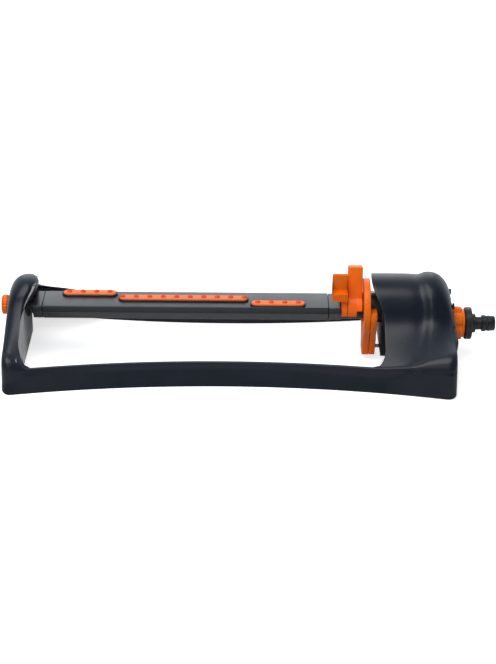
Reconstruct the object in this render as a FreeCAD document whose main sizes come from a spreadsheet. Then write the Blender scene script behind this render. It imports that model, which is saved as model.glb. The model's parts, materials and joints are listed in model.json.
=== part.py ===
import FreeCAD, Part
import Sketcher
import math
import os
import re

# An oscillating lawn sprinkler. +X runs along the spray tube towards the hose inlet, +Z is up and
# -Y is the front. The origin is on the ground, in the middle of the whole length and width.

DIMS = {
    # frame: one thin-walled moulding, a bell-shaped section swept along X
    "left_end": -236, "right_end": 201, "waist_x": -22, "waist_half": 72, "waist_radius": 992,
    "wall": 3, "axis_z": 52.5, "leg_radius": 30.5, "drum_radius": 34, "hood_radius": 36.5,
    "hood_start": 170, "round_length": 20, "round_top": 24, "round_flank": 8, "round_side": 8,
    "brow_z": 21.5, "brow_rise": 5.5, "flare_low": 40, "flare_drop": 8.5, "spread": 14.5, "shoulder": 3.5, "end_shoulder": 8, "end_rise": 8, "rail_top": 20.5,
    "window_left": -221, "window_right": 133.5, "window_fillet": 13, "rail_flange": 7,
    "web_left": -222, "web_right": -219, "web_half": 49, "web_hole": 9.2, "end_hole": 8,
    # inlet, on its own lower axis
    "inlet_z": 36, "pipe_start": 190, "pipe_radius": 9.8, "pipe_bore": 6.8, "inlet_hole": 10.3,
    "knob_start": 203.5, "knob_end": 215.2, "knob_radius": 17.5, "knob_bore": 9.95,
    "flange_end": 222.4, "flange_radius": 16, "step_end": 226.4, "step_radius": 9.5,
    "neck_end": 232.8, "neck_radius": 6.5, "ring_end": 236.4, "ring_radius": 8.25,
    "groove_end": 238.4, "groove_radius": 6.6, "tip_ring_end": 241, "tip_ring_radius": 7.8,
    "nipple_end": 246, "nipple_radius": 7.5, "nipple_bore": 4.6,
    "sleeve_start": 203.8, "sleeve_end": 213.8, "sleeve_radius": 6.6, "sleeve_bore": 5,
    "key_x": 209.3, "key_radius": 1.3, "key_slot": 2, "port_radius": 1.7, "port_offset": 2.6,
    "lobe_count": 6, "scallop_radius": 4, "scallop_turn": 47, "knob_rim": 2.2,
    "screen_thick": 1.2, "screen_hole": 0.8, "screen_inner": 2.6, "screen_outer": 5,
    # spray tube: a flattened hexagon, deck up
    "tube_start": -202.5, "tube_end": 79.5, "deck_half": 18, "deck_up": 7, "side_up": 0.5,
    "keel_half": 10, "keel_down": 10, "tube_wall": 2, "cap_spigot": 6,
    "left_cap_start": -212, "right_cap_end": 91.5, "journal_start": -236.4,
    "journal_radius": 6.8, "journal_bore": 4.2,
    "drive_radius": 11.5, "drive_bore": 7, "drive_end": 143,
    # nozzle strips: eighteen nozzles at one pitch, split over three rows
    "nozzle_first": -177.4, "nozzle_pitch": 13.36, "row_offset": 10.8, "row_shift": -0.6,
    "strip_half": 5,
    "strip_up": 3, "strip_margin": 6.4, "middle_margin": 3.4, "rim_half": 6.2, "rim_up": 1.8,
    "nozzle_radius": 2.4, "nozzle_up": 1.8, "jet_radius": 0.55, "slot_half": 3,
    # end plug
    "plug_start": -246, "plug_face": -236.9, "plug_radius": 9.75, "plug_stem": 3.9,
    "seal_section": 0.6, "stem_end": -222, "needle_radius": 0.5, "needle_end": -196,
    # bearing bush in the left leg
    "bush_bore": 7, "bush_radius": 9.2, "bush_flange": 11.5, "bush_start": -223.5,
    "bush_end": -216.5,
    # range sliders
    "slider_bore": 11.8, "slider_ring": 14.4, "sweep_radius": 19.9, "slider_tip": 42.3,
    "front_tab_start": 82.6, "front_ring_start": 92, "front_slider_end": 98.2,
    "rear_slider_start": 98.5, "rear_slider_end": 113, "slider_lean": 14, "clip_drop": 4, "notch_start": 107.5,
    "notch_up": 2,
    "tab_back": 0.5, "tab_front": 2.6, "block_front": 11.9, "block_top": 24.2,
    # trip lever
    "trip_start": 114, "trip_end": 120.4, "arm_start": 120.7, "arm_end": 126.8,
    "trip_bore": 15.05, "trip_radius": 29, "tongue_drop": 47, "tongue_half": 11.5,
    "tongue_round": 2.5, "arm_top": 5,
    "rod_drop": 42.5, "rod_radius": 1.8, "rod_end": 195.6,
    # gear case
    "case_start": 131, "case_end": 188, "cover_end": 190, "case_radius": 29.8, "case_wall": 1.8,
    "case_floor": 13.5, "front_wall": 2.5, "boss_start": 116, "boss_radius": 14.8,
    "boss_bore": 12.2, "seal_end": 135.2, "seal_radius": 17, "seal_bore": 11.6,
    "plate_start": 153, "plate_end": 155, "jet_plate_start": 175.5, "jet_plate_end": 178.5,
    "jet_offset": 12.2, "jet_hole": 2.2, "shaft_radius": 1.5, "screw_radius": 1.6,
    "screw_head": 3, "screw_spread": 24.5, "post_radius": 3.6, "post_spread": 17,
    # gears
    "gear_module": 0.8, "tube_teeth": 48, "pinion_teeth": 12, "wheel_teeth": 36,
    "tube_gear_start": 136, "tube_gear_end": 141, "slow_pinion_start": 135.5,
    "slow_wheel_start": 143, "slow_wheel_end": 146, "fast_pinion_start": 142.4,
    "fast_wheel_start": 148, "fast_wheel_end": 151, "turbine_pinion_start": 147.4,
    "turbine_pinion_end": 151.8, "gear_bore": 1.8, "slow_y": 12, "fast_y": -7.2,
    "turbine_start": 158, "turbine_end": 172, "turbine_radius": 14, "hub_radius": 4,
    "blade_thick": 1.4, "turbine_shaft_end": 175, "shaft_hole": 1.8,
    # reversing flap
    "flap_z": 22.5, "flap_start": 180.5, "flap_end": 183.5, "flap_reach": 29, "flap_pad": 5,
    "spindle_radius": 2, "spindle_end": 195.8, "fork_start": 192, "fork_end": 194.6,
    "arm_half": 1.5, "fork_half": 4.2, "fork_top": 2, "fork_reach": 16.5, "fork_root": 9.5,
    "fork_slot": 2.3,
}
DOC = FreeCAD.newDocument("oscillating_sprinkler")
PARTS = []


def make_sheet():
    """Writes each driving dimension, in millimetres, degrees or teeth, to a named cell."""
    sheet = DOC.addObject("Spreadsheet::Sheet", "dims")
    for row, (alias, value) in enumerate(DIMS.items(), start=1):
        sheet.set(f"A{row}", alias)
        sheet.set(f"B{row}", str(value))
        sheet.setAlias(f"B{row}", alias)
    DOC.recompute()
    return sheet


SHEET = make_sheet()


def size(alias):
    return float(getattr(SHEET, alias))


def cells(text):
    """An expression over sheet cells, written with bare aliases."""
    return re.sub(r"[a-z][a-z_]*", lambda word: "dims." + word.group(0), text)


def bind(target, **expressions):
    for name, text in expressions.items():
        target.setExpression(name.replace("__", "."), cells(text))


def keep(item, label):
    """Marks a document object as a sub-part and gives it its node name."""
    item.Label = label
    PARTS.append(item)
    return item


def cylinder(name, radius, start, end, across="0", up="axis_z"):
    """A cylinder along X, from start to end."""
    item = DOC.addObject("Part::Cylinder", name)
    item.Placement = FreeCAD.Placement(FreeCAD.Vector(), FreeCAD.Rotation(FreeCAD.Vector(0, 1, 0), 90))
    bind(item, Radius=radius, Height=f"({end}) - ({start})", Placement__Base__x=start,
         Placement__Base__y=across, Placement__Base__z=up)
    return item


def box(name, x_range, y_range, z_range):
    """A box between two expressions on each axis."""
    item = DOC.addObject("Part::Box", name)
    for side, letter, (low, high) in zip(("Length", "Width", "Height"), "xyz",
                                         (x_range, y_range, z_range)):
        item.setExpression(side, cells(f"({high}) - ({low})"))
        item.setExpression(f"Placement.Base.{letter}", cells(low))
    return item


def fuse(name, *items):
    item = DOC.addObject("Part::MultiFuse", name)
    item.Shapes = list(items)
    return item


def value_of(text):
    """The present value of a cell expression, worked out by a spare cell of the sheet."""
    SHEET.set("D1", "=" + text)
    SHEET.recompute()
    return float(SHEET.get("D1"))


def cut(name, base, *tools):
    item = DOC.addObject("Part::Cut", name)
    item.Base = base
    item.Tool = tools[0] if len(tools) == 1 else fuse(name + "_tools", *tools)
    return item


def outline(sketch, points):
    """A closed polygon whose corners are bound to the sheet, each as a pair of expressions."""
    values = [[value_of(text) for text in point] for point in points]
    count = len(points)
    for index, (x, y) in enumerate(values):
        x_next, y_next = values[(index + 1) % count]
        sketch.addGeometry(Part.LineSegment(FreeCAD.Vector(x, y, 0),
                                            FreeCAD.Vector(x_next, y_next, 0)), False)
    first = sketch.GeometryCount - count
    for index in range(count):
        sketch.addConstraint(Sketcher.Constraint("Coincident", first + index, 2,
                                                 first + (index + 1) % count, 1))
    for index, point in enumerate(points):
        for kind, axis, text, value in zip(("DistanceX", "DistanceY"), (-2, -1), point, values[index]):
            if abs(value) < 1e-9:
                sketch.addConstraint(Sketcher.Constraint("PointOnObject", first + index, 1, axis))
                continue
            label = f"{kind[-1].lower()}_{first + index}"
            number = sketch.addConstraint(Sketcher.Constraint(kind, -1, 1, first + index, 1, value))
            sketch.renameConstraint(number, label)
            sketch.setExpression(f"Constraints.{label}", cells(text))


def sketch_on(body, role, name):
    """An empty sketch on one of the body's own origin planes."""
    sketch = body.newObject("Sketcher::SketchObject", name)
    plane = [item for item in body.Origin.OriginFeatures if item.Role == role][0]
    sketch.AttachmentSupport = [(plane, "")]
    sketch.MapMode = "FlatFace"
    return sketch


def turned(name, start, points, up="axis_z", across="0"):
    """A turned piece: an (offset, radius) outline revolved about a line along X."""
    body = DOC.addObject("PartDesign::Body", name + "_body")
    sketch = sketch_on(body, "XZ_Plane", name + "_outline")
    outline(sketch, points)
    turn = body.newObject("PartDesign::Revolution", name + "_turn")
    turn.Profile = sketch
    turn.ReferenceAxis = (sketch, ["H_Axis"])
    turn.Angle = 360
    bind(body, Placement__Base__x=start, Placement__Base__y=across, Placement__Base__z=up)
    return body


def prism(name, start, end, points, up="axis_z", across="0"):
    """A piece of constant section: a (y, z) outline padded along X."""
    body = DOC.addObject("PartDesign::Body", name + "_body")
    sketch = sketch_on(body, "YZ_Plane", name + "_outline")
    outline(sketch, points)
    pad = body.newObject("PartDesign::Pad", name + "_pad")
    pad.Profile = sketch
    bind(pad, Length=f"({end}) - ({start})")
    bind(body, Placement__Base__x=start, Placement__Base__y=across, Placement__Base__z=up)
    return body


def slot(name, x_start, x_end, across, half, low, high):
    """An upright slot-shaped block, round at both ends, with the given half-width."""
    half = f"({half})"
    bar = box(name + "_bar", (f"{x_start} + {half}", f"{x_end} - {half}"),
              (f"{across} - {half}", f"{across} + {half}"), (low, high))
    ends = []
    for side, place in (("left", f"{x_start} + {half}"), ("right", f"{x_end} - {half}")):
        end = DOC.addObject("Part::Cylinder", f"{name}_{side}")
        bind(end, Radius=half, Height=f"({high}) - ({low})", Placement__Base__x=place,
             Placement__Base__y=across, Placement__Base__z=low)
        ends.append(end)
    return fuse(name, bar, *ends)


# --- frame -----------------------------------------------------------------------------------

def round_over(distance, length, depth):
    """How far an elliptical edge of this length and depth has drawn in, near an end face."""
    if distance >= length:
        return 0.0
    return depth * (1 - math.sqrt(max(1 - ((length - distance) / length) ** 2, 0.0)))


def waist(x):
    """Half-width of the foot of the frame: both long sides are arcs of one radius."""
    arc = size("waist_radius")
    return size("waist_half") + arc - math.sqrt(arc ** 2 - (x - size("waist_x")) ** 2)


def crown_radius(x):
    """Radius of the round top: the leg's, the drum's, then the raised hood at the inlet end."""
    if x >= size("hood_start"):
        return size("hood_radius")
    blend = (x - size("left_end")) / (size("window_right") - size("left_end"))
    return size("leg_radius") + min(max(blend, 0.0), 1.0) * (size("drum_radius") - size("leg_radius"))


def brow_height(x):
    """Height of the rails' top edge: level along the rails and higher under the drum."""
    along = min(max((x - size("window_right") + 15) / 50, 0.0), 1.0)
    return size("brow_z") + size("brow_rise") * along ** 2 * (3 - 2 * along)


def smooth_step(value):
    """0 below 0, 1 above 1, and a smooth cubic between them."""
    value = min(max(value, 0.0), 1.0)
    return value * value * (3 - 2 * value)


def straightness(x):
    """1 at the leg, whose flanks run nearly straight, falling to 0.45 at the housing."""
    return 1 - 0.55 * smooth_step((x + 200) / 200)


def end_softness(x):
    """0 along the rails, rising to 1 at both ends, where the brow opens into a wide shoulder."""
    return smooth_step((size("window_left") + 12 - x) / 22) + smooth_step((x - 150) / 50)


def bell(x, inset):
    """The bell-shaped section at x: round crown, flared flank, round shoulder and upright skirt."""
    from_end = min(x - size("left_end"), size("right_end") - x) - inset
    length = size("round_length") - inset
    radius = crown_radius(x) - inset
    top = radius - round_over(from_end, length, size("round_top") - inset)
    flank = radius - round_over(from_end, length, size("round_flank") - inset)
    corner = size("round_side") - inset
    foot = waist(x) - inset - round_over(from_end, corner, corner)
    brow = brow_height(x) + size("end_rise") * end_softness(x) - inset
    share = straightness(x)
    wide = flank + size("spread") * share
    bend = size("shoulder") + size("end_shoulder") * end_softness(x) - inset
    edge, start = foot - 1.5, foot - 1.5 - bend
    ground = -1.0 if inset else 0.0
    axis = size("axis_z")
    quarter = 4 / 3 * (math.sqrt(2) - 1)

    def at(y, z):
        return FreeCAD.Vector(x, y, z)

    def curve(poles):
        line = Part.BezierCurve()
        line.setPoles([at(y, z) for y, z in poles])
        return line.toShape()

    drop = size("flare_drop") + 1.5 * share
    run = 12 * share
    crown = [(0, axis + top), (quarter * flank, axis + top),
             (wide - 1.2 * run, axis + (1 - share) * quarter * top + 1.2 * drop * share), (wide, axis)]
    low_y = (1 - share) * (flank + 24) + share * (2 * start + wide) / 3
    low_z = (1 - share) * (size("flare_low") - inset) + share * (2 * brow + axis) / 3
    flare = [(wide, axis), (wide + run, axis - drop), (low_y, low_z), (start, brow)]
    slant = bend * math.sqrt(0.5)
    shoulder = Part.Arc(at(start, brow), at(start + slant, brow - bend + slant), at(edge, brow - bend))
    mirror_shoulder = Part.Arc(at(-edge, brow - bend), at(-start - slant, brow - bend + slant),
                               at(-start, brow))
    edges = [curve([(-y, z) for y, z in reversed(crown)]), curve(crown), curve(flare),
             shoulder.toShape(),
             Part.makeLine(at(edge, brow - bend), at(foot, ground)),
             Part.makeLine(at(foot, ground), at(-foot, ground)),
             Part.makeLine(at(-foot, ground), at(-edge, brow - bend)),
             mirror_shoulder.toShape(), curve([(-y, z) for y, z in reversed(flare)])]
    return Part.Wire(edges)


def bell_block(inset):
    """A solid through bell sections, close together at the rounded ends and at the hood."""
    low = size("left_end") + inset
    high = size("right_end") - inset
    steps = [0, 0.3, 1, 2.5, 5, 9, 14, size("round_length") - inset]
    places = [low + step for step in steps]
    places += [-190 + 30 * count for count in range(12)]
    places += [size("hood_start") - 4, size("hood_start")]
    places += [high - step for step in reversed(steps)]
    return Part.makeLoft([bell(x, inset) for x in places], True, True)


def window_cutter(side):
    """One side's see-through opening: it leaves the leg, the rail and the housing's open mouth.
    At the rear, a long gusset is left in the corner between the leg and the rail."""
    left, right = size("window_left"), size("window_right")
    sill, fillet = size("rail_top"), size("window_fillet")
    top = 120

    def at(x, z):
        return FreeCAD.Vector(x, 0, z)

    def curve(*poles):
        line = Part.BezierCurve()
        line.setPoles([at(x, z) for x, z in poles])
        return line.toShape()

    slant = fillet * (1 - math.sqrt(0.5))
    if side < 0:
        sill_left = left + fillet
        left_side = [curve((left, sill + fillet), (left - 1, 50), (left + 3, 76), (left + 14, 86)),
                     Part.Arc(at(left, sill + fillet), at(left + slant, sill + slant),
                              at(sill_left, sill)).toShape()]
    else:
        sill_left = left + 71
        left_side = [curve((left + 14, 86), (left + 12, 76), (left + 10.5, 66), (left + 11, 62)),
                     curve((left + 11, 62), (left + 15, 56.5), (left + 38, 57.5), (left + 52, 50)),
                     curve((left + 52, 50), (left + 61, 45.5), (left + 68, 36), (sill_left, sill))]
    edges = left_side + [
        Part.makeLine(at(left + 14, top), at(left + 14, 86)),
        Part.makeLine(at(sill_left, sill), at(right - fillet, sill)),
        Part.Arc(at(right - fillet, sill), at(right - slant, sill + slant),
                 at(right, sill + fillet)).toShape(),
        curve((right - 12, 90), (right - 7, 80), (right, 62), (right, sill + fillet)),
        Part.makeLine(at(right - 12, 90), at(right - 12, top)),
        Part.makeLine(at(right - 12, top), at(left + 14, top))]
    loop = Part.Wire(Part.__sortEdges__(edges))
    return Part.Face(loop).extrude(FreeCAD.Vector(0, 150 * side, 0))


def plan_cutter():
    """Opens the floor between the rails, leaving each rail a narrow top flange."""
    left, right = size("web_right"), size("window_right")
    places = [left + (right - left) * step / 12 for step in range(13)]
    rear = [FreeCAD.Vector(x, waist(x) - size("rail_flange"), -1) for x in places]
    front = [FreeCAD.Vector(point.x, -point.y, -1) for point in reversed(rear)]
    edge = Part.makePolygon(rear + front + rear[:1])
    return Part.Face(edge).extrude(FreeCAD.Vector(0, 0, size("rail_top") + 2))


def bore_along_x(radius, start, end, z, y=0.0):
    return Part.makeCylinder(radius, end - start, FreeCAD.Vector(start, y, z), FreeCAD.Vector(1, 0, 0))


def base_frame():
    """One moulding: hollow leg, two bowed rails and the drum-shaped housing, open underneath."""
    axis = size("axis_z")
    cavity = bell_block(size("wall"))
    shell = bell_block(0.0).cut(cavity).cut(window_cutter(-1)).cut(window_cutter(1))
    shell = shell.cut(plan_cutter())
    half = size("web_half")
    web = Part.makeBox(size("web_right") - size("web_left"), 2 * half, 160,
                       FreeCAD.Vector(size("web_left"), -half, 0))
    shell = shell.fuse(web.common(bell_block(size("wall") - 0.2)))
    for side in (-1, 1):
        post = bore_along_x(size("post_radius"), size("cover_end"), size("right_end") - 2, axis + 10,
                            side * size("post_spread"))
        shell = shell.fuse(post)
        shell = shell.cut(bore_along_x(size("screw_radius"), size("cover_end") - 1,
                                       size("right_end") + 1, axis + 10, side * size("post_spread")))
    shell = shell.cut(bore_along_x(size("end_hole"), size("left_end") - 1, size("left_end") + 6, axis))
    shell = shell.cut(bore_along_x(size("web_hole"), size("web_left") - 1, size("web_right") + 1, axis))
    shell = shell.cut(bore_along_x(size("inlet_hole"), size("right_end") - 6, size("right_end") + 2,
                                   size("inlet_z")))
    item = DOC.addObject("Part::Feature", "frame_moulding")
    item.Shape = shell.removeSplitter()
    return keep(item, "base_frame")


# --- spray tube ------------------------------------------------------------------------------

def hexagon(gap):
    """The tube's flattened section about its axis, drawn in by a gap expression."""
    right = [(f"deck_half - {gap}", f"deck_up - {gap}"), (f"deck_half - {gap}", f"side_up + {gap} * 0.3"),
             (f"keel_half - {gap} * 0.55", f"{gap} - keel_down")]
    left = [(f"-({y})", z) for y, z in reversed(right)]
    return right + left


ROWS = (("rear", 0, 3, 1), ("middle", 4, 13, 0), ("front", 14, 17, -1))


def row_places(first, last, side):
    """The X span and the Y of one nozzle row."""
    margin = "strip_margin" if side else "middle_margin"
    start = f"nozzle_first + {first} * nozzle_pitch - {margin}"
    end = f"nozzle_first + {last} * nozzle_pitch + {margin}"
    return start, end, f"({side} * row_offset + row_shift)"


def spray_tube():
    """The hollow tube, with a raised rim and a water slot for each nozzle strip."""
    outer = prism("tube_outer", "tube_start", "tube_end", hexagon("0"))
    inner = prism("tube_inner", "tube_start - 1", "tube_end + 1", hexagon("tube_wall"))
    rims = []
    holes = [inner]
    deck = "axis_z + deck_up"
    for name, first, last, side in ROWS:
        start, end, across = row_places(first, last, side)
        rims.append(slot(f"{name}_rim", f"{start} - 1.4", f"{end} + 1.4", across, "rim_half",
                         f"{deck} - 1", f"{deck} + rim_up"))
        holes.append(slot(f"{name}_seat", f"{start} - 0.1", f"{end} + 0.1", across,
                          "strip_half + 0.1", deck, f"{deck} + 6"))
        holes.append(slot(f"{name}_slot", f"{start} + 1.2", f"{end} - 1.2", across, "slot_half",
                          f"{deck} - 4", f"{deck} + 1"))
    solid = fuse("tube_solid", outer, *rims)
    return keep(cut("tube_shell", solid, *holes), "spray_tube")


def nozzle_strip(name, first, last, side):
    """A soft strip that plugs a water slot and carries its row of small domed nozzles."""
    start, end, across = row_places(first, last, side)
    deck = "axis_z + deck_up"
    body = slot(f"{name}_strip_top", start, end, across, "strip_half", deck, f"{deck} + strip_up")
    plug = slot(f"{name}_strip_plug", f"{start} + 1.3", f"{end} - 1.3", across, "slot_half - 0.1",
                f"{deck} - 2", f"{deck} + 1")
    domes = []
    jets = []
    for number in range(first, last + 1):
        for kind, radius, low, high, group in (
                ("dome", "nozzle_radius", f"{deck} + 1", f"{deck} + strip_up + nozzle_up", domes),
                ("jet", "jet_radius", f"{deck} - 3", f"{deck} + strip_up + nozzle_up + 1", jets)):
            item = DOC.addObject("Part::Cylinder", f"{name}_{kind}_{number}")
            bind(item, Radius=radius, Height=f"({high}) - ({low})",
                 Placement__Base__x=f"nozzle_first + {number} * nozzle_pitch",
                 Placement__Base__y=across, Placement__Base__z=low)
            group.append(item)
    solid = fuse(f"{name}_strip_solid", body, plug, *domes)
    return keep(cut(f"{name}_strip_cut", solid, *jets), f"{name}_nozzle_strip")


def left_end_cap():
    """Closes the tube and carries its left journal, bored for the drain plug."""
    cap = prism("left_cap", "left_cap_start", "tube_start", hexagon("0.2"))
    spigot = prism("left_spigot", "tube_start - 1", "tube_start + cap_spigot",
                   hexagon("(tube_wall + 0.1)"))
    journal = cylinder("left_journal", "journal_radius", "journal_start", "left_cap_start + 1")
    bore = cylinder("left_bore", "journal_bore", "journal_start - 1", "tube_start + cap_spigot + 1")
    return keep(cut("left_cap_cut", fuse("left_cap_solid", cap, spigot, journal), bore),
                "left_end_cap")


def right_end_cap():
    """Closes the tube at the drive end and holds the drive neck."""
    cap = prism("right_cap", "tube_end", "right_cap_end", hexagon("0.2"))
    spigot = prism("right_spigot", "tube_end - cap_spigot", "tube_end + 1",
                   hexagon("(tube_wall + 0.1)"))
    bore = cylinder("right_bore", "drive_bore", "tube_end - cap_spigot - 1", "right_cap_end + 1")
    return keep(cut("right_cap_cut", fuse("right_cap_solid", cap, spigot), bore), "right_end_cap")


def drive_neck():
    """The round hollow neck that carries the sliders, feeds the tube and ends in the gearbox."""
    length = "drive_end - right_cap_end"
    points = [("0", "drive_bore"), (length, "drive_bore"), (length, "drive_radius - 1.5"),
              ("tube_gear_start - right_cap_end", "drive_radius - 1.5"),
              ("tube_gear_start - right_cap_end", "drive_radius"), ("0", "drive_radius")]
    return keep(turned("neck", "right_cap_end", points), "drive_neck")


def end_plug():
    """The pull-out drain plug: a round knob on a stem with a groove for its seal."""
    face = "plug_face - plug_start"
    groove = "stem_end - plug_start - 5"
    points = [("0", "0"), ("stem_end - plug_start", "0"), ("stem_end - plug_start", "plug_stem"),
              (f"{groove} + 1", "plug_stem"), (f"{groove} + 1", "plug_stem - 1.1"),
              (f"{groove} - 1", "plug_stem - 1.1"), (f"{groove} - 1", "plug_stem"),
              (face, "plug_stem"), (face, "plug_radius"), ("0.9", "plug_radius"),
              ("0", "plug_radius - 0.9")]
    return keep(turned("plug", "plug_start", points), "end_plug")


def plug_seal():
    ring = DOC.addObject("Part::Torus", "plug_seal_ring")
    ring.Placement = FreeCAD.Placement(FreeCAD.Vector(), FreeCAD.Rotation(FreeCAD.Vector(0, 1, 0), 90))
    bind(ring, Radius1="plug_stem - 0.5", Radius2="seal_section", Placement__Base__x="stem_end - 5",
         Placement__Base__z="axis_z")
    return keep(ring, "plug_seal")


def cleaning_needle():
    return keep(cylinder("needle", "needle_radius", "stem_end", "needle_end"), "cleaning_needle")


# --- range sliders -----------------------------------------------------------------------------

def leaned(item, angle):
    """Turns a finished slider about the tube axis."""
    axis = FreeCAD.Vector(0, 0, size("axis_z"))
    item.Placement = FreeCAD.Placement(FreeCAD.Vector(), FreeCAD.Rotation(FreeCAD.Vector(1, 0, 0), angle),
                                       axis)
    return item


def below(name, start, level="axis_z - clip_drop"):
    """A block under the neck: it opens a slider's ring into a clip that snaps on from above."""
    reach = "slider_ring + 1"
    return box(name, (f"{start} - 1", "rear_slider_end + 1"), (f"-({reach})", reach),
               (f"axis_z - ({reach})", level))


def front_range_slider():
    """A ring with a thumb plate on a block that overhangs the tube's end cap."""
    tip = ("axis_z + slider_bore + 0.6", "axis_z + slider_tip")
    span = ("front_tab_start", "front_slider_end")
    plate = box("front_plate", span, ("-tab_front", "tab_back"), tip)
    block = box("front_block", span, ("-block_front", "tab_back"),
                ("axis_z + slider_bore + 0.6", "axis_z + block_top"))
    sweep = cylinder("front_sweep", "sweep_radius", "front_tab_start - 1", "front_ring_start")
    ring = cylinder("front_ring", "slider_ring", "front_ring_start", "front_slider_end")
    bore = cylinder("front_bore", "slider_bore", "front_tab_start - 1", "front_slider_end + 1")
    tab = cut("front_tab", fuse("front_tab_solid", plate, block), sweep)
    slider = cut("front_slider", fuse("front_slider_solid", tab, ring), bore)
    clip = cut("front_clip", leaned(slider, size("slider_lean")), below("front_gap", "front_tab_start"))
    return keep(clip, "front_range_slider")


def rear_range_slider():
    """Its opposite: a ring with a deep thumb block, leaning to the rear."""
    span = ("rear_slider_start", "rear_slider_end")
    block = box("rear_block", span, ("-block_front + 2", "tab_front"), ("axis_z + 5", "axis_z + slider_tip"))
    ring = cylinder("rear_ring", "slider_ring", "rear_slider_start", "rear_slider_end")
    bore = cylinder("rear_bore", "slider_bore", "rear_slider_start - 1", "rear_slider_end + 1")
    slider = cut("rear_slider", fuse("rear_slider_solid", block, ring), bore)
    clip = cut("rear_clip", leaned(slider, -size("slider_lean")), below("rear_gap", "rear_slider_start"),
               below("rear_notch", "notch_start + 1", "axis_z + notch_up"))
    return keep(clip, "rear_range_slider")


# --- trip lever and reversing flap -------------------------------------------------------------

def lever_plate(name, start, end, whole):
    """A round plate about the tube axis with a tongue below; cut off level above, if not whole."""
    disc = cylinder(f"{name}_disc", "trip_radius", start, end)
    right_edge = [("trip_radius * 0.8", "-trip_radius * 0.6"),
                  ("tongue_half", "-(tongue_drop - tongue_round)"),
                  ("tongue_half - tongue_round", "-tongue_drop")]
    left_edge = [(f"-({y})", z) for y, z in reversed(right_edge)]
    tongue = prism(f"{name}_tongue", start, end, right_edge + left_edge)
    tools = [cylinder(f"{name}_bore", "trip_bore", f"{start} - 1", f"{end} + 1")]
    if not whole:
        tools.append(box(f"{name}_upper", (f"{start} - 1", f"{end} + 1"),
                         ("-trip_radius - 1", "trip_radius + 1"),
                         ("axis_z + arm_top", "axis_z + trip_radius + 1")))
    return cut(f"{name}_plate", fuse(f"{name}_solid", disc, tongue), *tools)


def reversing_flap():
    """Steers the water at the turbine: an arm and pad inside, a fork on the same spindle outside."""
    spindle = cylinder("flap_spindle", "spindle_radius", "flap_start", "spindle_end", up="flap_z")
    arm = prism("flap_arm", "flap_start", "flap_end",
                [("-arm_half", "0"), ("arm_half", "0"), ("arm_half", "flap_reach"),
                 ("-arm_half", "flap_reach")], up="flap_z")
    pad = cylinder("flap_pad_disc", "flap_pad", "flap_start", "flap_end", up="flap_z + flap_reach")
    fork = prism("flap_fork", "fork_start", "fork_end",
                 [("-fork_half", "fork_top"), ("-fork_half", "-fork_reach"), ("-fork_slot", "-fork_reach"),
                  ("-fork_slot", "-fork_root"), ("fork_slot", "-fork_root"), ("fork_slot", "-fork_reach"),
                  ("fork_half", "-fork_reach"), ("fork_half", "fork_top")], up="flap_z")
    return keep(fuse("flap", spindle, arm, pad, fork), "reversing_flap")


# --- gearbox -----------------------------------------------------------------------------------

def gear_outline(teeth, module, start):
    """An involute spur gear's closed outline, with stub teeth and running backlash."""
    pitch = teeth * module / 2
    base = pitch * math.cos(math.radians(20))
    tip = pitch + 0.9 * module
    root = pitch - 1.2 * module
    half_tooth = math.pi / (2 * teeth) - 0.16 / pitch

    def flank_angle(radius):
        if radius <= base:
            return 0.0
        roll = math.sqrt((radius / base) ** 2 - 1)
        return roll - math.atan(roll)

    radii = [max(base, root) + (tip - max(base, root)) * step / 4 for step in range(5)]
    corners = []
    for number in range(teeth):
        middle = 2 * math.pi * number / teeth
        flank = [(radius, half_tooth + flank_angle(pitch) - flank_angle(radius)) for radius in radii]
        flank.insert(0, (root, flank[0][1] + 0.02))
        corners += [(radius, middle - angle) for radius, angle in flank]
        corners += [(radius, middle + angle) for radius, angle in reversed(flank)]
    points = [FreeCAD.Vector(start, radius * math.cos(angle), radius * math.sin(angle))
              for radius, angle in corners]
    return Part.Face(Part.makePolygon(points + points[:1]))


def gear_blank(teeth_cell, start, end, y, z, phase):
    """One toothed wheel along X about (y, z); phase turns it, in degrees, from a tooth along +Y."""
    face = gear_outline(int(size(teeth_cell)), size("gear_module"), start)
    wheel = face.extrude(FreeCAD.Vector(end - start, 0, 0))
    wheel.rotate(FreeCAD.Vector(), FreeCAD.Vector(1, 0, 0), phase)
    wheel.translate(FreeCAD.Vector(0, y, z))
    return wheel


def shaft_places():
    """Centres of the slow, fast and turbine shafts, one mesh distance apart each."""
    module, small, large = size("gear_module"), size("pinion_teeth"), size("wheel_teeth")
    first = module * (size("tube_teeth") + small) / 2
    other = module * (large + small) / 2
    axis = size("axis_z")
    slow = (size("slow_y"), axis - math.sqrt(first ** 2 - size("slow_y") ** 2))
    fast = (size("fast_y"), slow[1] - math.sqrt(max(other ** 2 - (slow[0] - size("fast_y")) ** 2, 0.0)))
    turbine = (0.0, fast[1] + math.sqrt(other ** 2 - size("fast_y") ** 2))
    return {"tube": (0.0, axis), "slow": slow, "fast": fast, "turbine": turbine}


def bearing(place, other):
    """Direction from one centre to another, in degrees from +Y."""
    return math.degrees(math.atan2(other[1] - place[1], other[0] - place[0]))


def mating_phase(driver_phase, driver_teeth, place, other, teeth):
    """The phase that sets a gap of the second gear against a tooth of the first."""
    towards = bearing(place, other)
    pitch_shift = (towards - driver_phase) * driver_teeth / teeth
    return towards + 180 + pitch_shift + 180 / teeth


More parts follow.
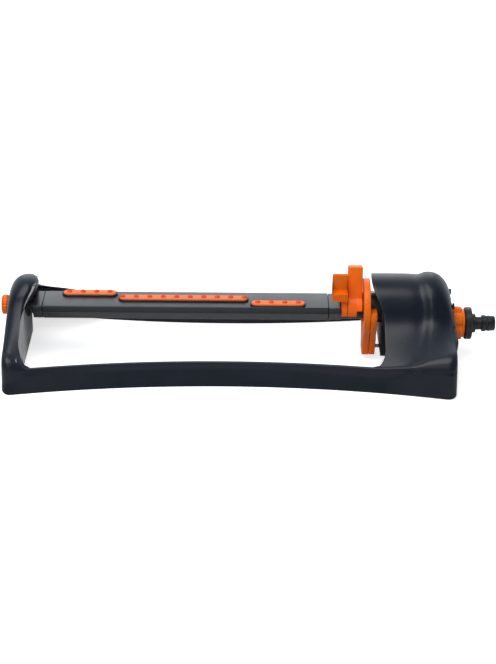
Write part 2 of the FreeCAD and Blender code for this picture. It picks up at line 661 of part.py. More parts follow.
def gear_train():
    """The drive from turbine to tube: one gear on the neck, two double gears, one pinion."""
    centre = shaft_places()
    small, large, tube_teeth = (size(cell) for cell in ("pinion_teeth", "wheel_teeth", "tube_teeth"))
    tube_gear = gear_blank("tube_teeth", size("tube_gear_start"), size("tube_gear_end"),
                           *centre["tube"], 0)
    tube_gear = tube_gear.cut(bore_along_x(size("drive_radius") - 1.5, size("case_start"),
                                           size("plate_start"), centre["tube"][1]))
    slow_phase = mating_phase(0, tube_teeth, centre["tube"], centre["slow"], small)
    fast_phase = mating_phase(0, large, centre["slow"], centre["fast"], small)
    turbine_phase = mating_phase(0, large, centre["fast"], centre["turbine"], small)
    slow = gear_blank("pinion_teeth", size("slow_pinion_start"), size("slow_wheel_start") + 0.5,
                      *centre["slow"], slow_phase)
    slow = slow.fuse(gear_blank("wheel_teeth", size("slow_wheel_start"), size("slow_wheel_end"),
                                *centre["slow"], 0))
    fast = gear_blank("pinion_teeth", size("fast_pinion_start"), size("fast_wheel_start") + 0.5,
                      *centre["fast"], fast_phase)
    fast = fast.fuse(gear_blank("wheel_teeth", size("fast_wheel_start"), size("fast_wheel_end"),
                                *centre["fast"], 0))
    past = size("plate_end")
    front = size("case_start")
    slow, fast = (gear.cut(bore_along_x(size("gear_bore"), front, past, centre[name][1], centre[name][0]))
                  for name, gear in (("slow", slow), ("fast", fast)))
    pinion = gear_blank("pinion_teeth", size("turbine_pinion_start"), size("turbine_pinion_end"),
                        *centre["turbine"], turbine_phase)
    pinion = pinion.cut(bore_along_x(size("shaft_radius"), front, past, centre["turbine"][1]))
    for label, shape in (("tube_gear", tube_gear), ("slow_double_gear", slow),
                         ("fast_double_gear", fast), ("turbine_pinion", pinion)):
        item = DOC.addObject("Part::Feature", label + "_solid")
        item.Shape = shape
        keep(item, label)


def gear_shafts():
    """Two fixed pins for the double gears, held between the case front and the gear plate."""
    centre = shaft_places()
    for name in ("slow", "fast"):
        y, z = centre[name]
        pin = cylinder(f"{name}_pin", "shaft_radius", "case_start + front_wall", "plate_start",
                       across=f"{y:.6f}", up=f"{z:.6f}")
        keep(pin, f"{name}_gear_pin")


def turbine():
    """A hub with straight blades, on a thin shaft that also carries the pinion."""
    y, z = shaft_places()["turbine"]
    up = f"{z:.6f}"
    hub = cylinder("turbine_hub", "hub_radius", "turbine_start", "turbine_end", up=up)
    bore = cylinder("turbine_bore", "shaft_radius", "turbine_start - 1", "turbine_end + 1", up=up)
    blades = []
    for number in range(8):
        blade = DOC.addObject("Part::Box", f"blade_{number}")
        bind(blade, Length="turbine_end - turbine_start - 2", Width="blade_thick",
             Height="turbine_radius")
        turn = FreeCAD.Placement(FreeCAD.Vector(size("turbine_start") + 1, y, z),
                                 FreeCAD.Rotation(FreeCAD.Vector(1, 0, 0), 45 * number))
        offset = FreeCAD.Placement(FreeCAD.Vector(0, -size("blade_thick") / 2, 0), FreeCAD.Rotation())
        blade.Placement = turn * offset
        blades.append(blade)
    keep(cut("turbine_cut", fuse("turbine_solid", hub, *blades), bore), "turbine_wheel")
    keep(cylinder("turbine_axle", "shaft_radius", "turbine_pinion_start - 1", "turbine_shaft_end",
                  up=up), "turbine_shaft")


def arch(gap):
    """The gear case's section: a half-round top over straight sides."""
    radius = f"case_radius - {gap}"
    return radius, f"case_floor + {gap} - axis_z"


def arch_block(name, start, end, gap):
    """A block of the case's section, drawn in by a gap expression."""
    radius, floor = arch(gap)
    crown = cylinder(f"{name}_crown", radius, start, end)
    body = prism(f"{name}_sides", start, end,
                 [(radius, "0"), (f"-({radius})", "0"), (f"-({radius})", floor), (radius, floor)])
    return fuse(name, crown, body)


def gear_case():
    """The closed gearbox: front wall with a long boss, round-topped body, open at the rear."""
    block = arch_block("case_outer", "case_start", "case_end", "0")
    boss = cylinder("case_boss", "boss_radius", "boss_start", "case_start + 1")
    room = arch_block("case_room", "case_start + front_wall", "case_end + 1", "case_wall")
    bore = cylinder("case_bore", "boss_bore", "boss_start - 1", "case_start + front_wall + 1")
    return keep(cut("case_cut", fuse("case_solid", block, boss), room, bore), "gear_case")


def case_bosses(name, start, end, radius):
    """Four places for the case screws, in the corners of its section."""
    spots = []
    for number, (side, up) in enumerate(((-1, "axis_z + 17.5"), (1, "axis_z + 17.5"),
                                         (-1, "case_floor + 5.5"), (1, "case_floor + 5.5"))):
        spread = "post_spread - 1" if number < 2 else "screw_spread - 1"
        spots.append(cylinder(f"{name}_{number}", radius, start, end, across=f"{side} * ({spread})",
                              up=up))
    return spots


def inner_plates():
    """The gear plate, the jet plate and the rear cover, each across the case's room."""
    centre = shaft_places()
    y, z = centre["turbine"]
    up = f"{z:.6f}"
    plate = arch_block("gear_plate_block", "plate_start", "plate_end", "(case_wall + 0.1)")
    hole = cylinder("gear_plate_hole", "shaft_hole", "plate_start - 1", "plate_end + 1", up=up)
    channel = cylinder("gear_plate_channel", "drive_bore", "plate_start - 1", "plate_end + 1",
                       up="axis_z + 15", across="5")
    keep(cut("gear_plate_cut", plate, hole, channel), "gear_plate")
    jets = [cylinder(f"jet_{name}", "jet_hole", "jet_plate_start - 1", "jet_plate_end + 1",
                     across=f"{side} * jet_offset", up=up)
            for name, side in (("front", -1), ("rear", 1))]
    plate = arch_block("jet_plate_block", "jet_plate_start", "jet_plate_end", "(case_wall + 0.1)")
    keep(cut("jet_plate_cut", plate, *jets), "jet_plate")
    cover = arch_block("cover_block", "case_end", "cover_end", "0")
    inlet = cylinder("cover_inlet", "pipe_bore", "case_end - 1", "cover_end + 1", up="inlet_z + 4")
    spindle = cylinder("cover_spindle", "spindle_radius + 0.1", "case_end - 1", "cover_end + 1",
                       up="flap_z")
    screws = case_bosses("cover_screw_hole", "case_end - 1", "cover_end + 1", "screw_radius + 0.1")
    keep(cut("cover_cut", cover, inlet, spindle, *screws), "case_cover")


def screws():
    """Four case screws in one node, and the two that hold the gearbox to the housing's end."""
    shanks = case_bosses("case_screw", "jet_plate_end + 0.2", "cover_end + 0.5", "screw_radius")
    heads = case_bosses("case_screw_head", "cover_end", "cover_end + 1.8", "screw_head")
    pairs = [fuse(f"case_screw_whole_{number}", shank, head)
             for number, (shank, head) in enumerate(zip(shanks, heads))]
    group = DOC.addObject("Part::Compound", "case_screw_group")
    group.Links = pairs
    keep(group, "case_screws")
    pairs = []
    for name, side in (("front", -1), ("rear", 1)):
        across = f"{side} * post_spread"
        shank = cylinder(f"housing_screw_{name}", "screw_radius", "cover_end", "right_end + 0.5",
                         across=across, up="axis_z + 10")
        head = cylinder(f"housing_head_{name}", "screw_head", "right_end", "right_end + 1.6",
                        across=across, up="axis_z + 10")
        pairs.append(fuse(f"housing_screw_whole_{name}", shank, head))
    group = DOC.addObject("Part::Compound", "housing_screw_group")
    group.Links = pairs
    keep(group, "housing_screws")


def bearings_and_seals():
    bush = [("0", "bush_bore"), ("bush_end - bush_start", "bush_bore"),
            ("bush_end - bush_start", "bush_flange"), ("web_right - bush_start", "bush_flange"),
            ("web_right - bush_start", "bush_radius"), ("0", "bush_radius")]
    keep(turned("bush", "bush_start", bush), "tube_bearing")
    front = "case_start + front_wall"
    seal = [("0", "seal_bore"), (f"seal_end - ({front})", "seal_bore"),
            (f"seal_end - ({front})", "seal_radius"), ("0", "seal_radius")]
    keep(turned("seal", front, seal), "neck_seal")


# --- inlet -------------------------------------------------------------------------------------

def inlet_nipple():
    """The fixed inlet: a pipe through the housing's end, a flange and the snap-on hose nipple."""
    at = {cell: f"{cell} - pipe_start" for cell in (
        "knob_end", "flange_end", "step_end", "neck_end", "ring_end", "groove_end", "tip_ring_end",
        "nipple_end")}
    points = [("0", "pipe_bore"), (at["flange_end"], "pipe_bore"), (at["flange_end"], "nipple_bore"),
              (at["nipple_end"], "nipple_bore"), (at["nipple_end"], "nipple_radius - 1"),
              (at["nipple_end"] + " - 1", "nipple_radius"), (at["tip_ring_end"], "nipple_radius"),
              (at["tip_ring_end"], "tip_ring_radius"), (at["groove_end"], "tip_ring_radius"),
              (at["groove_end"], "groove_radius"), (at["ring_end"], "groove_radius"),
              (at["ring_end"], "ring_radius"), (at["neck_end"], "ring_radius"),
              (at["neck_end"], "neck_radius"), (at["step_end"], "neck_radius"),
              (at["step_end"], "step_radius"), (at["flange_end"], "step_radius"),
              (at["flange_end"], "flange_radius"), (at["knob_end"] + " + 0.3", "flange_radius"),
              (at["knob_end"] + " + 0.3", "pipe_radius"), ("0", "pipe_radius")]
    pipe = turned("nipple", "pipe_start", points, up="inlet_z")
    window = box("key_window", ("key_x - key_slot", "key_x + key_slot"),
                 ("-pipe_radius - 1", "key_slot"), ("inlet_z - key_slot", "inlet_z + pipe_radius + 1"))
    return keep(cut("nipple_cut", pipe, window), "inlet_nipple")


def nipple_seal():
    """The rubber ring in the nipple's groove."""
    points = [("0", "groove_radius"), ("groove_end - ring_end", "groove_radius"),
              ("groove_end - ring_end", "groove_radius + 0.9"), ("0", "groove_radius + 0.9")]
    return keep(turned("nipple_seal_ring", "ring_end", points, up="inlet_z"), "nipple_seal")


def filter_screen():
    """A perforated disc that catches grit where the hose's water comes in."""
    disc = cylinder("screen_disc", "pipe_bore", "flange_end - screen_thick", "flange_end",
                    up="inlet_z")
    holes = []
    for ring, count in (("0", 1), ("screen_inner", 6), ("screen_outer", 12)):
        for number in range(count):
            turn = 2 * math.pi * number / count
            holes.append(cylinder(f"screen_hole_{count}_{number}", "screen_hole", "flange_end - 2",
                                  "flange_end + 1", across=f"{ring} * {math.cos(turn):.6f}",
                                  up=f"inlet_z + {ring} * ({math.sin(turn):.6f})"))
    return keep(cut("screen", disc, *holes), "filter_screen")


def flow_knob():
    """The finger collar that sets the flow: a lobed ring on the inlet pipe."""
    disc = cylinder("knob_disc", "knob_radius", "knob_start", "knob_end", up="inlet_z")
    tools = [cylinder("knob_bore_hole", "knob_bore", "knob_start - 1", "knob_end + 1", up="inlet_z")]
    lobes = int(size("lobe_count"))
    for number in range(lobes):
        turn = math.radians(360 * number / lobes + size("scallop_turn"))
        tools.append(cylinder(f"knob_scallop_{number}", "scallop_radius", "knob_start - 1",
                              "knob_end - knob_rim",
                              across=f"(knob_radius + 1) * ({math.cos(turn):.6f})",
                              up=f"inlet_z + (knob_radius + 1) * ({math.sin(turn):.6f})"))
    return keep(cut("knob", disc, *tools), "flow_knob")


def valve_sleeve():
    """A ported sleeve inside the pipe, keyed to the knob by a pin through the pipe's slot."""
    sleeve = cylinder("sleeve_outer", "sleeve_radius", "sleeve_start", "sleeve_end", up="inlet_z")
    bore = cylinder("sleeve_inner", "sleeve_bore", "sleeve_start - 1", "sleeve_end - 2", up="inlet_z")
    ports = [cylinder(f"sleeve_port_{number}", "port_radius", "sleeve_end - 3", "sleeve_end + 1",
                      across=f"{side} * port_offset", up="inlet_z") for number, side in enumerate((-1, 1))]
    pin = DOC.addObject("Part::Cylinder", "sleeve_pin")
    bind(pin, Radius="key_radius", Height="knob_bore - sleeve_bore - 0.4", Placement__Base__x="key_x",
         Placement__Base__z="inlet_z + sleeve_bore + 0.3")
    return keep(fuse("sleeve", cut("sleeve_tube", sleeve, bore, *ports), pin), "valve_sleeve")


def check_and_write():
    """Stops on any failed object or bad shape, then writes one file per sub-part."""
    DOC.recompute()
    failed = [item.Name for item in DOC.Objects if {"Invalid", "Error"} & set(item.State)]
    bad = [item.Label for item in PARTS if item.Shape.isNull() or not item.Shape.isValid()]
    if failed or bad:
        raise RuntimeError(f"failed objects {failed}, bad shapes {bad}")
    os.makedirs("parts", exist_ok=True)
    for item in PARTS:
        item.Shape.exportStep(f"parts/{item.Label}.step")
        print(item.Label, round(item.Shape.Volume), len(item.Shape.Solids))


base_frame()
bearings_and_seals()
spray_tube()
for row in ROWS:
    nozzle_strip(*row)
left_end_cap()
right_end_cap()
drive_neck()
end_plug()
plug_seal()
cleaning_needle()
front_range_slider()
rear_range_slider()
keep(lever_plate("trip", "trip_start", "trip_end", True), "trip_plate")
keep(lever_plate("arm", "arm_start", "arm_end", False), "trip_arm")
keep(cylinder("rod", "rod_radius", "arm_end", "rod_end", up="axis_z - rod_drop"), "link_rod")
reversing_flap()
gear_train()
gear_shafts()
turbine()
gear_case()
inner_plates()
screws()
inlet_nipple()
nipple_seal()
filter_screen()
flow_knob()
valve_sleeve()
check_and_write()
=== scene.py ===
import json
import math
import bmesh
import bpy
import numpy as np
from mathutils import Matrix, Vector


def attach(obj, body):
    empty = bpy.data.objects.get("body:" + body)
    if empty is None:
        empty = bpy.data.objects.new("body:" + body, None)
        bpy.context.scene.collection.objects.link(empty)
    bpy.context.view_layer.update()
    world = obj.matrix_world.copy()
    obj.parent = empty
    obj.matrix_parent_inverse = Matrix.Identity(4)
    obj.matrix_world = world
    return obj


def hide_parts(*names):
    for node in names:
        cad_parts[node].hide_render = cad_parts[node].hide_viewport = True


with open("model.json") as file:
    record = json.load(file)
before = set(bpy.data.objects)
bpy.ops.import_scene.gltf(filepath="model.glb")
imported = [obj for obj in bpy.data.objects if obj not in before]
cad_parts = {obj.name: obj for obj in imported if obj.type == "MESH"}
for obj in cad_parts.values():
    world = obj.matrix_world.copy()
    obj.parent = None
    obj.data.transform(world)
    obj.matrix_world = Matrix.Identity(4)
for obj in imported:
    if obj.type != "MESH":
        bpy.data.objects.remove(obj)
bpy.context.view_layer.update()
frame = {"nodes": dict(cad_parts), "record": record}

# ---------------------------------------------------------------------------------------------
# The studio: a pale floor, one large soft lamp above, a small fill in front, a broad one behind,
# and a sky that is brighter behind the object. The camera itself sees a plain white sky.
# ---------------------------------------------------------------------------------------------


def material_with(name):
    """A new node material, its nodes (a Principled shader and the output) and its links."""
    material = bpy.data.materials.new(name)
    material.use_nodes = True
    return material, material.node_tree.nodes, material.node_tree.links


scene = bpy.context.scene
scene.view_settings.view_transform = "Standard"

ELEVATION = math.radians(26.0)
TILT = math.radians(0.475)
DISTANCE = 1.779
SENSOR_WIDTH, FOCAL_LENGTH = 36.0, 96.45
TARGET = Vector((0.0003, 0.0, 0.024))
right = Vector((1.0, 0.0, 0.0))
upward = Vector((0.0, math.sin(ELEVATION), math.cos(ELEVATION)))
ahead = Vector((0.0, math.cos(ELEVATION), -math.sin(ELEVATION)))
side_axis = right * math.cos(TILT) + upward * math.sin(TILT)
up_axis = upward * math.cos(TILT) - right * math.sin(TILT)
camera_data = bpy.data.cameras.new("camera")
camera_data.sensor_width = SENSOR_WIDTH
camera_data.lens = FOCAL_LENGTH
camera = bpy.data.objects.new("camera", camera_data)
scene.collection.objects.link(camera)
camera_axes = Matrix((side_axis, up_axis, -ahead)).transposed()
camera.matrix_world = Matrix.Translation(TARGET - ahead * DISTANCE) @ camera_axes.to_4x4()
scene.camera = camera


def soft_lamp(name, place, size, power):
    """A square area lamp aimed at the middle of the object."""
    data = bpy.data.lights.new(name, "AREA")
    data.shape = "SQUARE"
    data.size = size
    data.energy = power
    lamp = bpy.data.objects.new(name, data)
    lamp.location = place
    lamp.rotation_euler = (TARGET - Vector(place)).to_track_quat("-Z", "Y").to_euler()
    scene.collection.objects.link(lamp)


soft_lamp("key_lamp", (-0.4, -0.5, 1.9), 1.5, 31.0)
soft_lamp("front_lamp", (-0.5, -1.9, 1.1), 1.0, 5.0)
soft_lamp("back_lamp", (-0.1, 1.9, 0.95), 1.7, 10.0)

SKY_DIM, SKY_BRIGHT = 0.16, 0.85
world = bpy.data.worlds.new("sky")
scene.world = world
world.use_nodes = True
sky = world.node_tree
sky.nodes.clear()
sky_rays = sky.nodes.new("ShaderNodeLightPath")
seen = sky.nodes.new("ShaderNodeMath")
seen.operation = "MAXIMUM"
sky.links.new(sky_rays.outputs["Is Camera Ray"], seen.inputs[0])
sky.links.new(sky_rays.outputs["Is Transmission Ray"], seen.inputs[1])
glow = sky.nodes.new("ShaderNodeBackground")
glow.inputs["Color"].default_value = (0.82, 0.91, 1.0, 1.0)
facing = sky.nodes.new("ShaderNodeTexCoord")
compass = sky.nodes.new("ShaderNodeSeparateXYZ")
sky.links.new(facing.outputs["Generated"], compass.inputs[0])
level = sky.nodes.new("ShaderNodeMapRange")
level.interpolation_type = "SMOOTHSTEP"
level.inputs["From Min"].default_value = -0.2
level.inputs["From Max"].default_value = 0.8
level.inputs["To Min"].default_value = SKY_DIM
level.inputs["To Max"].default_value = SKY_BRIGHT
sky.links.new(compass.outputs["Y"], level.inputs["Value"])
sky.links.new(level.outputs["Result"], glow.inputs["Strength"])
white = sky.nodes.new("ShaderNodeBackground")
white.inputs["Color"].default_value = (1.0, 1.0, 1.0, 1.0)
choice = sky.nodes.new("ShaderNodeMixShader")
sky.links.new(seen.outputs[0], choice.inputs["Fac"])
sky.links.new(glow.outputs[0], choice.inputs[1])
sky.links.new(white.outputs[0], choice.inputs[2])
sky_out = sky.nodes.new("ShaderNodeOutputWorld")
sky.links.new(choice.outputs[0], sky_out.inputs["Surface"])

FLOOR_REACH, FLOOR_LIFT = 6.0, 0.68
floor_mesh = bpy.data.meshes.new("floor")
floor_mesh.from_pydata([(across * FLOOR_REACH, away * FLOOR_REACH, 0)
                        for across, away in ((-1, -1), (1, -1), (1, 1), (-1, 1))], [], [(0, 1, 2, 3)])
floor = bpy.data.objects.new("floor", floor_mesh)
scene.collection.objects.link(floor)
floor_paint, floor_nodes, floor_links = material_with("floor_paint")
floor_shader = floor_nodes["Principled BSDF"]
floor_shader.inputs["Base Color"].default_value = (0.8, 0.8, 0.8, 1)
floor_shader.inputs["Roughness"].default_value = 0.9
floor_shader.inputs["Emission Color"].default_value = (1.0, 1.0, 1.0, 1.0)
floor_rays = floor_nodes.new("ShaderNodeLightPath")
lift = floor_nodes.new("ShaderNodeMath")
lift.operation = "MULTIPLY"
lift.inputs[1].default_value = FLOOR_LIFT
floor_links.new(floor_rays.outputs["Is Camera Ray"], lift.inputs[0])
floor_links.new(lift.outputs[0], floor_shader.inputs["Emission Strength"])
floor_mesh.materials.append(floor_paint)

# ---------------------------------------------------------------------------------------------
# Frame: one injection-moulded shell of dark blue-grey polypropylene, open underneath. A hollow
# leg and a drum-shaped housing stand on a skirt that runs round both bowed rails; a soft crease
# climbs from the front rail over the housing and leaves its inlet end standing a little proud.
# ---------------------------------------------------------------------------------------------
MM = 0.001
AXIS_UP = 52.5
LEFT_END, RIGHT_END = -236.0, 201.0
SHELL = 2.8
RAIL_UP = 24.2
WIDEST = 95.6
FOOT_RADIUS, FOOT_WAIST, WAIST_X = 992.0, 72.0, -22.0
FOOT_CORNER = 9.5
LEG_CROWN, DRUM_CROWN, CROWN_RUN = 30.5, 34.0, 370.0
LEG_INNER, LEG_BLEND = -209.0, 22.0
MOUTH, CLIMB_START, CREASE_START = 118.0, 132.0, 150.0
HOOD_EDGE, HOOD_BOW, HOOD_LEVEL, HOOD_SPAN = 175.0, 11.0, 60.0, 36.0
PLUG_HOLE = 8.3
RAIL_FILLET = 13.0


def rounded_in(distance, length, depth):
    """How far an elliptical edge draws in, at a distance from the end that it rounds."""
    near = np.clip((length - distance) / length, 0.0, 1.0)
    return depth * (1.0 - np.sqrt(1.0 - near ** 2))


def smooth_step(value):
    """0 below 0, 1 above 1, and the cubic 3v^2 - 2v^3 between them."""
    value = np.clip(value, 0.0, 1.0)
    return value * value * (3.0 - 2.0 * value)


def foot_half(x):
    """Half-width of the skirt's foot: an arc of 992 mm radius, narrowest at x = -22."""
    return FOOT_WAIST + FOOT_RADIUS - np.sqrt(FOOT_RADIUS ** 2 - (x - WAIST_X) ** 2)


def crown_radius(x):
    """Radius of the round top, growing from the leg's 30.5 mm to the drum's 34 mm."""
    return LEG_CROWN + (DRUM_CROWN - LEG_CROWN) * np.clip((x - LEFT_END) / CROWN_RUN, 0.0, 1.0)


def end_softness(x):
    """0 along the rails, rising to 1 at both ends, where the brow opens into a wide shoulder."""
    return smooth_step((LEG_INNER - x) / LEG_BLEND) + smooth_step((x - CREASE_START) / 50.0)


def brow_height(x):
    """Height of the rails' top edge: level along the rails and higher at both ends."""
    return RAIL_UP + 4.5 * smooth_step((x - MOUTH) / 50.0) + 11.0 * end_softness(x)


def shoulder(x):
    """Radius that rounds the brow."""
    return 2.2 + 11.5 * end_softness(x)


def crease_height(x):
    """Height at which the sloping skirt turns upright: it dips before the drum, then climbs."""
    dip = 3.3 * np.exp(-((x - 105.0) / 38.0) ** 2)
    level = 17.0 - dip + 13.0 * smooth_step((x - CLIMB_START) / 40.0)
    level = level - 7.0 * smooth_step((LEG_INNER - x) / LEG_BLEND)
    return np.minimum(level, brow_height(x) - shoulder(x) - 0.3)


def bare_section(x, u):
    """(half-width, height) of the bell section: u 0 to 1 runs up the skirt, 1 to 2 up the
    upright band and round its brow, 2 to 3 along the flare and 3 to 4 round the crown's ellipse.
    The flare is a cubic Bezier that joins the crown at the tip angle above the tube's axis, along
    the crown's tangent. Its share is 1 at the leg, for a nearly straight flank, and falls to 0.45
    at the housing, for a hollow one."""
    from_end = np.minimum(x - LEFT_END, RIGHT_END - x)
    crown = crown_radius(x)
    at_left = x < 0.0
    top = crown - np.where(at_left, rounded_in(from_end, 18.0, 22.0), rounded_in(from_end, 22.0, 30.0))
    flank = crown - np.where(at_left, rounded_in(from_end, 8.0, 4.0), rounded_in(from_end, 21.0, 9.5))
    foot = foot_half(x) - rounded_in(from_end, FOOT_CORNER, 9.0)
    lift = rounded_in(from_end, FOOT_CORNER, 4.6)
    brow, crease = brow_height(x), crease_height(x)
    upright = smooth_step((x + 225.0) / 120.0)
    skirt_in = 3.0 + 1.5 * upright
    low = np.clip(u, 0.0, 1.0)
    skirt_y = foot - skirt_in * np.clip((low - 0.03) / 0.97, 0.0, 1.0)
    skirt_z = lift + (crease - lift) * low
    rise = np.clip((u - 1.0) / 0.6, 0.0, 1.0)
    bend = np.clip((u - 1.6) / 0.4, 0.0, 1.0) * math.pi / 2
    band_in = skirt_in + 1.5 - 1.3 * upright
    bend_radius = shoulder(x)
    brow_y = foot - skirt_in - (band_in - skirt_in) * rise - bend_radius * (1.0 - np.cos(bend))
    brow_z = crease + (brow - bend_radius - crease) * rise + bend_radius * np.sin(bend)
    t = np.clip(u - 2.0, 0.0, 1.0)
    start = foot - band_in - bend_radius
    share = 1.0 - 0.55 * smooth_step((x + 200.0) / 200.0)
    tip = math.radians(36.0) * share
    join_y, join_z = flank * np.cos(tip), AXIS_UP + top * np.sin(tip)
    reach = (11.0 + 7.5 * share) / np.hypot(flank * np.sin(tip), top * np.cos(tip))
    high_y, high_z = join_y + reach * flank * np.sin(tip), join_z - reach * top * np.cos(tip)
    low_y = (1.0 - share) * (flank + 24.0) + share * (0.62 * start + 0.38 * join_y)
    low_z = (1.0 - share) * 38.5 + share * (0.66 * brow + 0.34 * join_z)
    flare_y = ((1 - t) ** 3 * start + 3 * t * (1 - t) ** 2 * low_y
               + 3 * t * t * (1 - t) * high_y + t ** 3 * join_y)
    flare_z = ((1 - t) ** 3 * brow + 3 * t * (1 - t) ** 2 * low_z
               + 3 * t * t * (1 - t) * high_z + t ** 3 * join_z)
    arc = tip + (math.pi / 2 - tip) * np.clip(u - 3.0, 0.0, 1.0)
    crown_y = flank * np.cos(arc)
    crown_z = AXIS_UP + top * np.sin(arc)
    y = np.select([u < 1.0, u < 2.0, u < 3.0], [skirt_y, brow_y, flare_y], crown_y)
    z = np.select([u < 1.0, u < 2.0, u < 3.0], [skirt_z, brow_z, flare_z], crown_z)
    return y, z


def hood_relief(x, z):
    """How far the inlet end stands proud: a signed distance to its edge, which climbs the
    housing as x = 175 - 11((z - 60)/36)^2 and runs out along the skirt, sent through a smooth
    step."""
    above_skirt = z - crease_height(x) - 2.0
    before_hood = HOOD_EDGE - HOOD_BOW * ((z - HOOD_LEVEL) / HOOD_SPAN) ** 2 - x
    blend = 12.0
    inside = 0.5 * (above_skirt + before_hood
                    - np.sqrt((above_skirt - before_hood) ** 2 + blend ** 2))
    hood = (1.0 - smooth_step((inside + 7.0) / 9.5)) * smooth_step((x - CLIMB_START) / 36.0)
    valley = np.exp(-((inside - 3.5) / 6.0) ** 2) * smooth_step((x - 140.0) / 30.0)
    return 2.0 * hood - 0.7 * valley


def frame_skin(x, u, side):
    """The frame's outer skin: the bell section moved along its own normal by the hood's relief, and
    rolled in where the leg's crown turns over towards the tube."""
    step = 0.01
    y, z = bare_section(x, u)
    y_next, z_next = bare_section(x, u + step)
    y_last, z_last = bare_section(x, u - step)
    slope_y, slope_z = y_next - y_last, z_next - z_last
    length = np.maximum(np.hypot(slope_y, slope_z), 1e-6)
    roll = np.maximum(8.5 * smooth_step((z - 50.0) / 28.0), 0.01)
    relief = (hood_relief(x, z) * np.clip(z / 3.0, 0.0, 1.0)
              - (x < -150.0) * rounded_in(left_edge(z, side) - x, roll, roll))
    y = y + relief * slope_z / length
    z = np.maximum(z - relief * slope_y / length, 0.05)
    y = np.where(u >= 3.999, 0.0, np.clip(y, 0.0, WIDEST))
    return np.stack([x, side * y, z], axis=-1) * MM


def arch_lean(z):
    """How far the leg's inner face leans towards the tube with height."""
    return 13.8 * smooth_step((z - 48.0) / 36.0) ** 1.6


def rail_fillet(z, low):
    """How far the arch's edge has swept out at a height: the quarter-round from the rail's top at
    low, 0 there and RAIL_FILLET at the top of the round and above."""
    climb = np.clip(z, low, low + RAIL_FILLET)
    return np.sqrt(np.maximum(RAIL_FILLET ** 2 - (low + RAIL_FILLET - climb) ** 2, 0.0))


def left_edge(z, side):
    """Where the leg ends at each height. In front, a fillet at the rail and a face that leans
    in; at the rear, a long gusset that reaches down the rail from just above the tube's axis."""
    if side > 0:
        gusset = 41.0 / (1.0 + np.exp((z - 50.6) / 2.1)) + 19.0 * smooth_step((50.0 - z) / 29.0)
        return -210.3 + gusset + 3.3 * smooth_step((z - 66.0) / 20.0)
    return -208.0 - rail_fillet(z, brow_height(-190.0)) + arch_lean(z)


def right_edge(z):
    """Where the housing's mouth is at each height: a fillet, then a lip that leans out on top."""
    return 120.5 + rail_fillet(z, brow_height(MOUTH)) - 12.5 * smooth_step((z - 56.0) / 34.0)


def grid_faces(rows, columns):
    """Quads of a rows x columns grid of vertices, in row order."""
    corner = (np.arange(rows - 1)[:, None] * columns + np.arange(columns - 1)[None, :]).ravel()
    return np.stack([corner, corner + 1, corner + columns + 1, corner + columns], axis=1)


def mesh_object(name, points, faces, sharp=35.0):
    """A smooth-shaded object from vertex and face arrays, creased where faces turn sharply."""
    mesh = bpy.data.meshes.new(name)
    mesh.from_pydata(points.tolist(), [], [tuple(face) for face in faces])
    mesh.validate()
    mesh.update()
    mesh.shade_smooth()
    mesh.set_sharp_from_angle(angle=math.radians(sharp))
    item = bpy.data.objects.new(name, mesh)
    scene.collection.objects.link(item)
    return item


def weld(item, distance):
    """Joins vertices that lie together and turns every face outwards."""
    work = bmesh.new()
    work.from_mesh(item.data)
    bmesh.ops.remove_doubles(work, verts=work.verts, dist=distance)
    bmesh.ops.recalc_face_normals(work, faces=work.faces)
    work.to_mesh(item.data)
    work.free()


EDGE_STEPS = np.array([0.0, 0.08, 0.3, 0.7, 1.3, 2.1, 3.2, 4.6, 6.3, 8.3, 10.7, 13.5, 16.8, 20.0])
SILL = 2.0
LOW_ROWS = np.concatenate([[0.0, 0.015, 0.03], np.linspace(0.08, 1.0, 16), [1.2, 1.4, 1.6],
                           np.linspace(1.6, SILL, 6)[1:]])
HIGH_ROWS = np.concatenate([np.linspace(SILL, 3.0, 40), np.linspace(3.0, 3.3, 18)[1:],
                            np.linspace(3.3, 4.0, 26)[1:]])
ALL_ROWS = np.concatenate([LOW_ROWS, HIGH_ROWS[1:]])


def leg_columns(edge):
    """X positions from the left end to the leg's edge, close together at both."""
    start = LEFT_END + EDGE_STEPS[-1]
    near = np.clip((edge[..., None] - start) / 6.0, 0.25, 1.0)
    fixed = LEFT_END + EDGE_STEPS * (0.55 + 0.45 * near)
    last = fixed[..., -1:]
    rest = np.array([0.12, 0.26, 0.42, 0.57, 0.7, 0.8, 0.88, 0.94, 0.98, 1.0])
    return np.concatenate([fixed, last + (edge[..., None] - last) * rest], axis=-1)


def housing_columns(edge):
    """X positions from the mouth to the right end, close together about the crease and the end."""
    middle = np.linspace(0.0, 1.0, 12)[:-1]
    crease = np.linspace(CREASE_START, 179.5, 30)
    fixed = np.concatenate([crease, RIGHT_END - EDGE_STEPS[::-1]])
    return np.concatenate([edge[..., None] + (CREASE_START - edge[..., None]) * middle,
                           np.broadcast_to(fixed, edge.shape + fixed.shape)], axis=-1)


def end_disc(x, side, hole):
    """The flat end: the end section and its ground line, drawn in row by row to a round hole about
    the tube's axis."""
    section = frame_skin(np.full_like(ALL_ROWS, x), ALL_ROWS, side)[:, 1:]
    across = np.linspace(0.0, 1.0, 12)[:-1, None]
    ground = section[0] * np.concatenate([across, across ** 4], axis=1)
    outline = np.concatenate([ground, section])
    axis = np.array([0.0, AXIS_UP]) * MM
    spoke = outline - axis
    circle = axis + hole * MM * spoke / np.hypot(spoke[:, 0], spoke[:, 1])[:, None]
    share = np.linspace(1.0, 0.0, 8)[:, None, None]
    disc = share * outline + (1.0 - share) * circle
    return np.concatenate([np.full((*disc.shape[:2], 1), x * MM), disc], axis=-1)


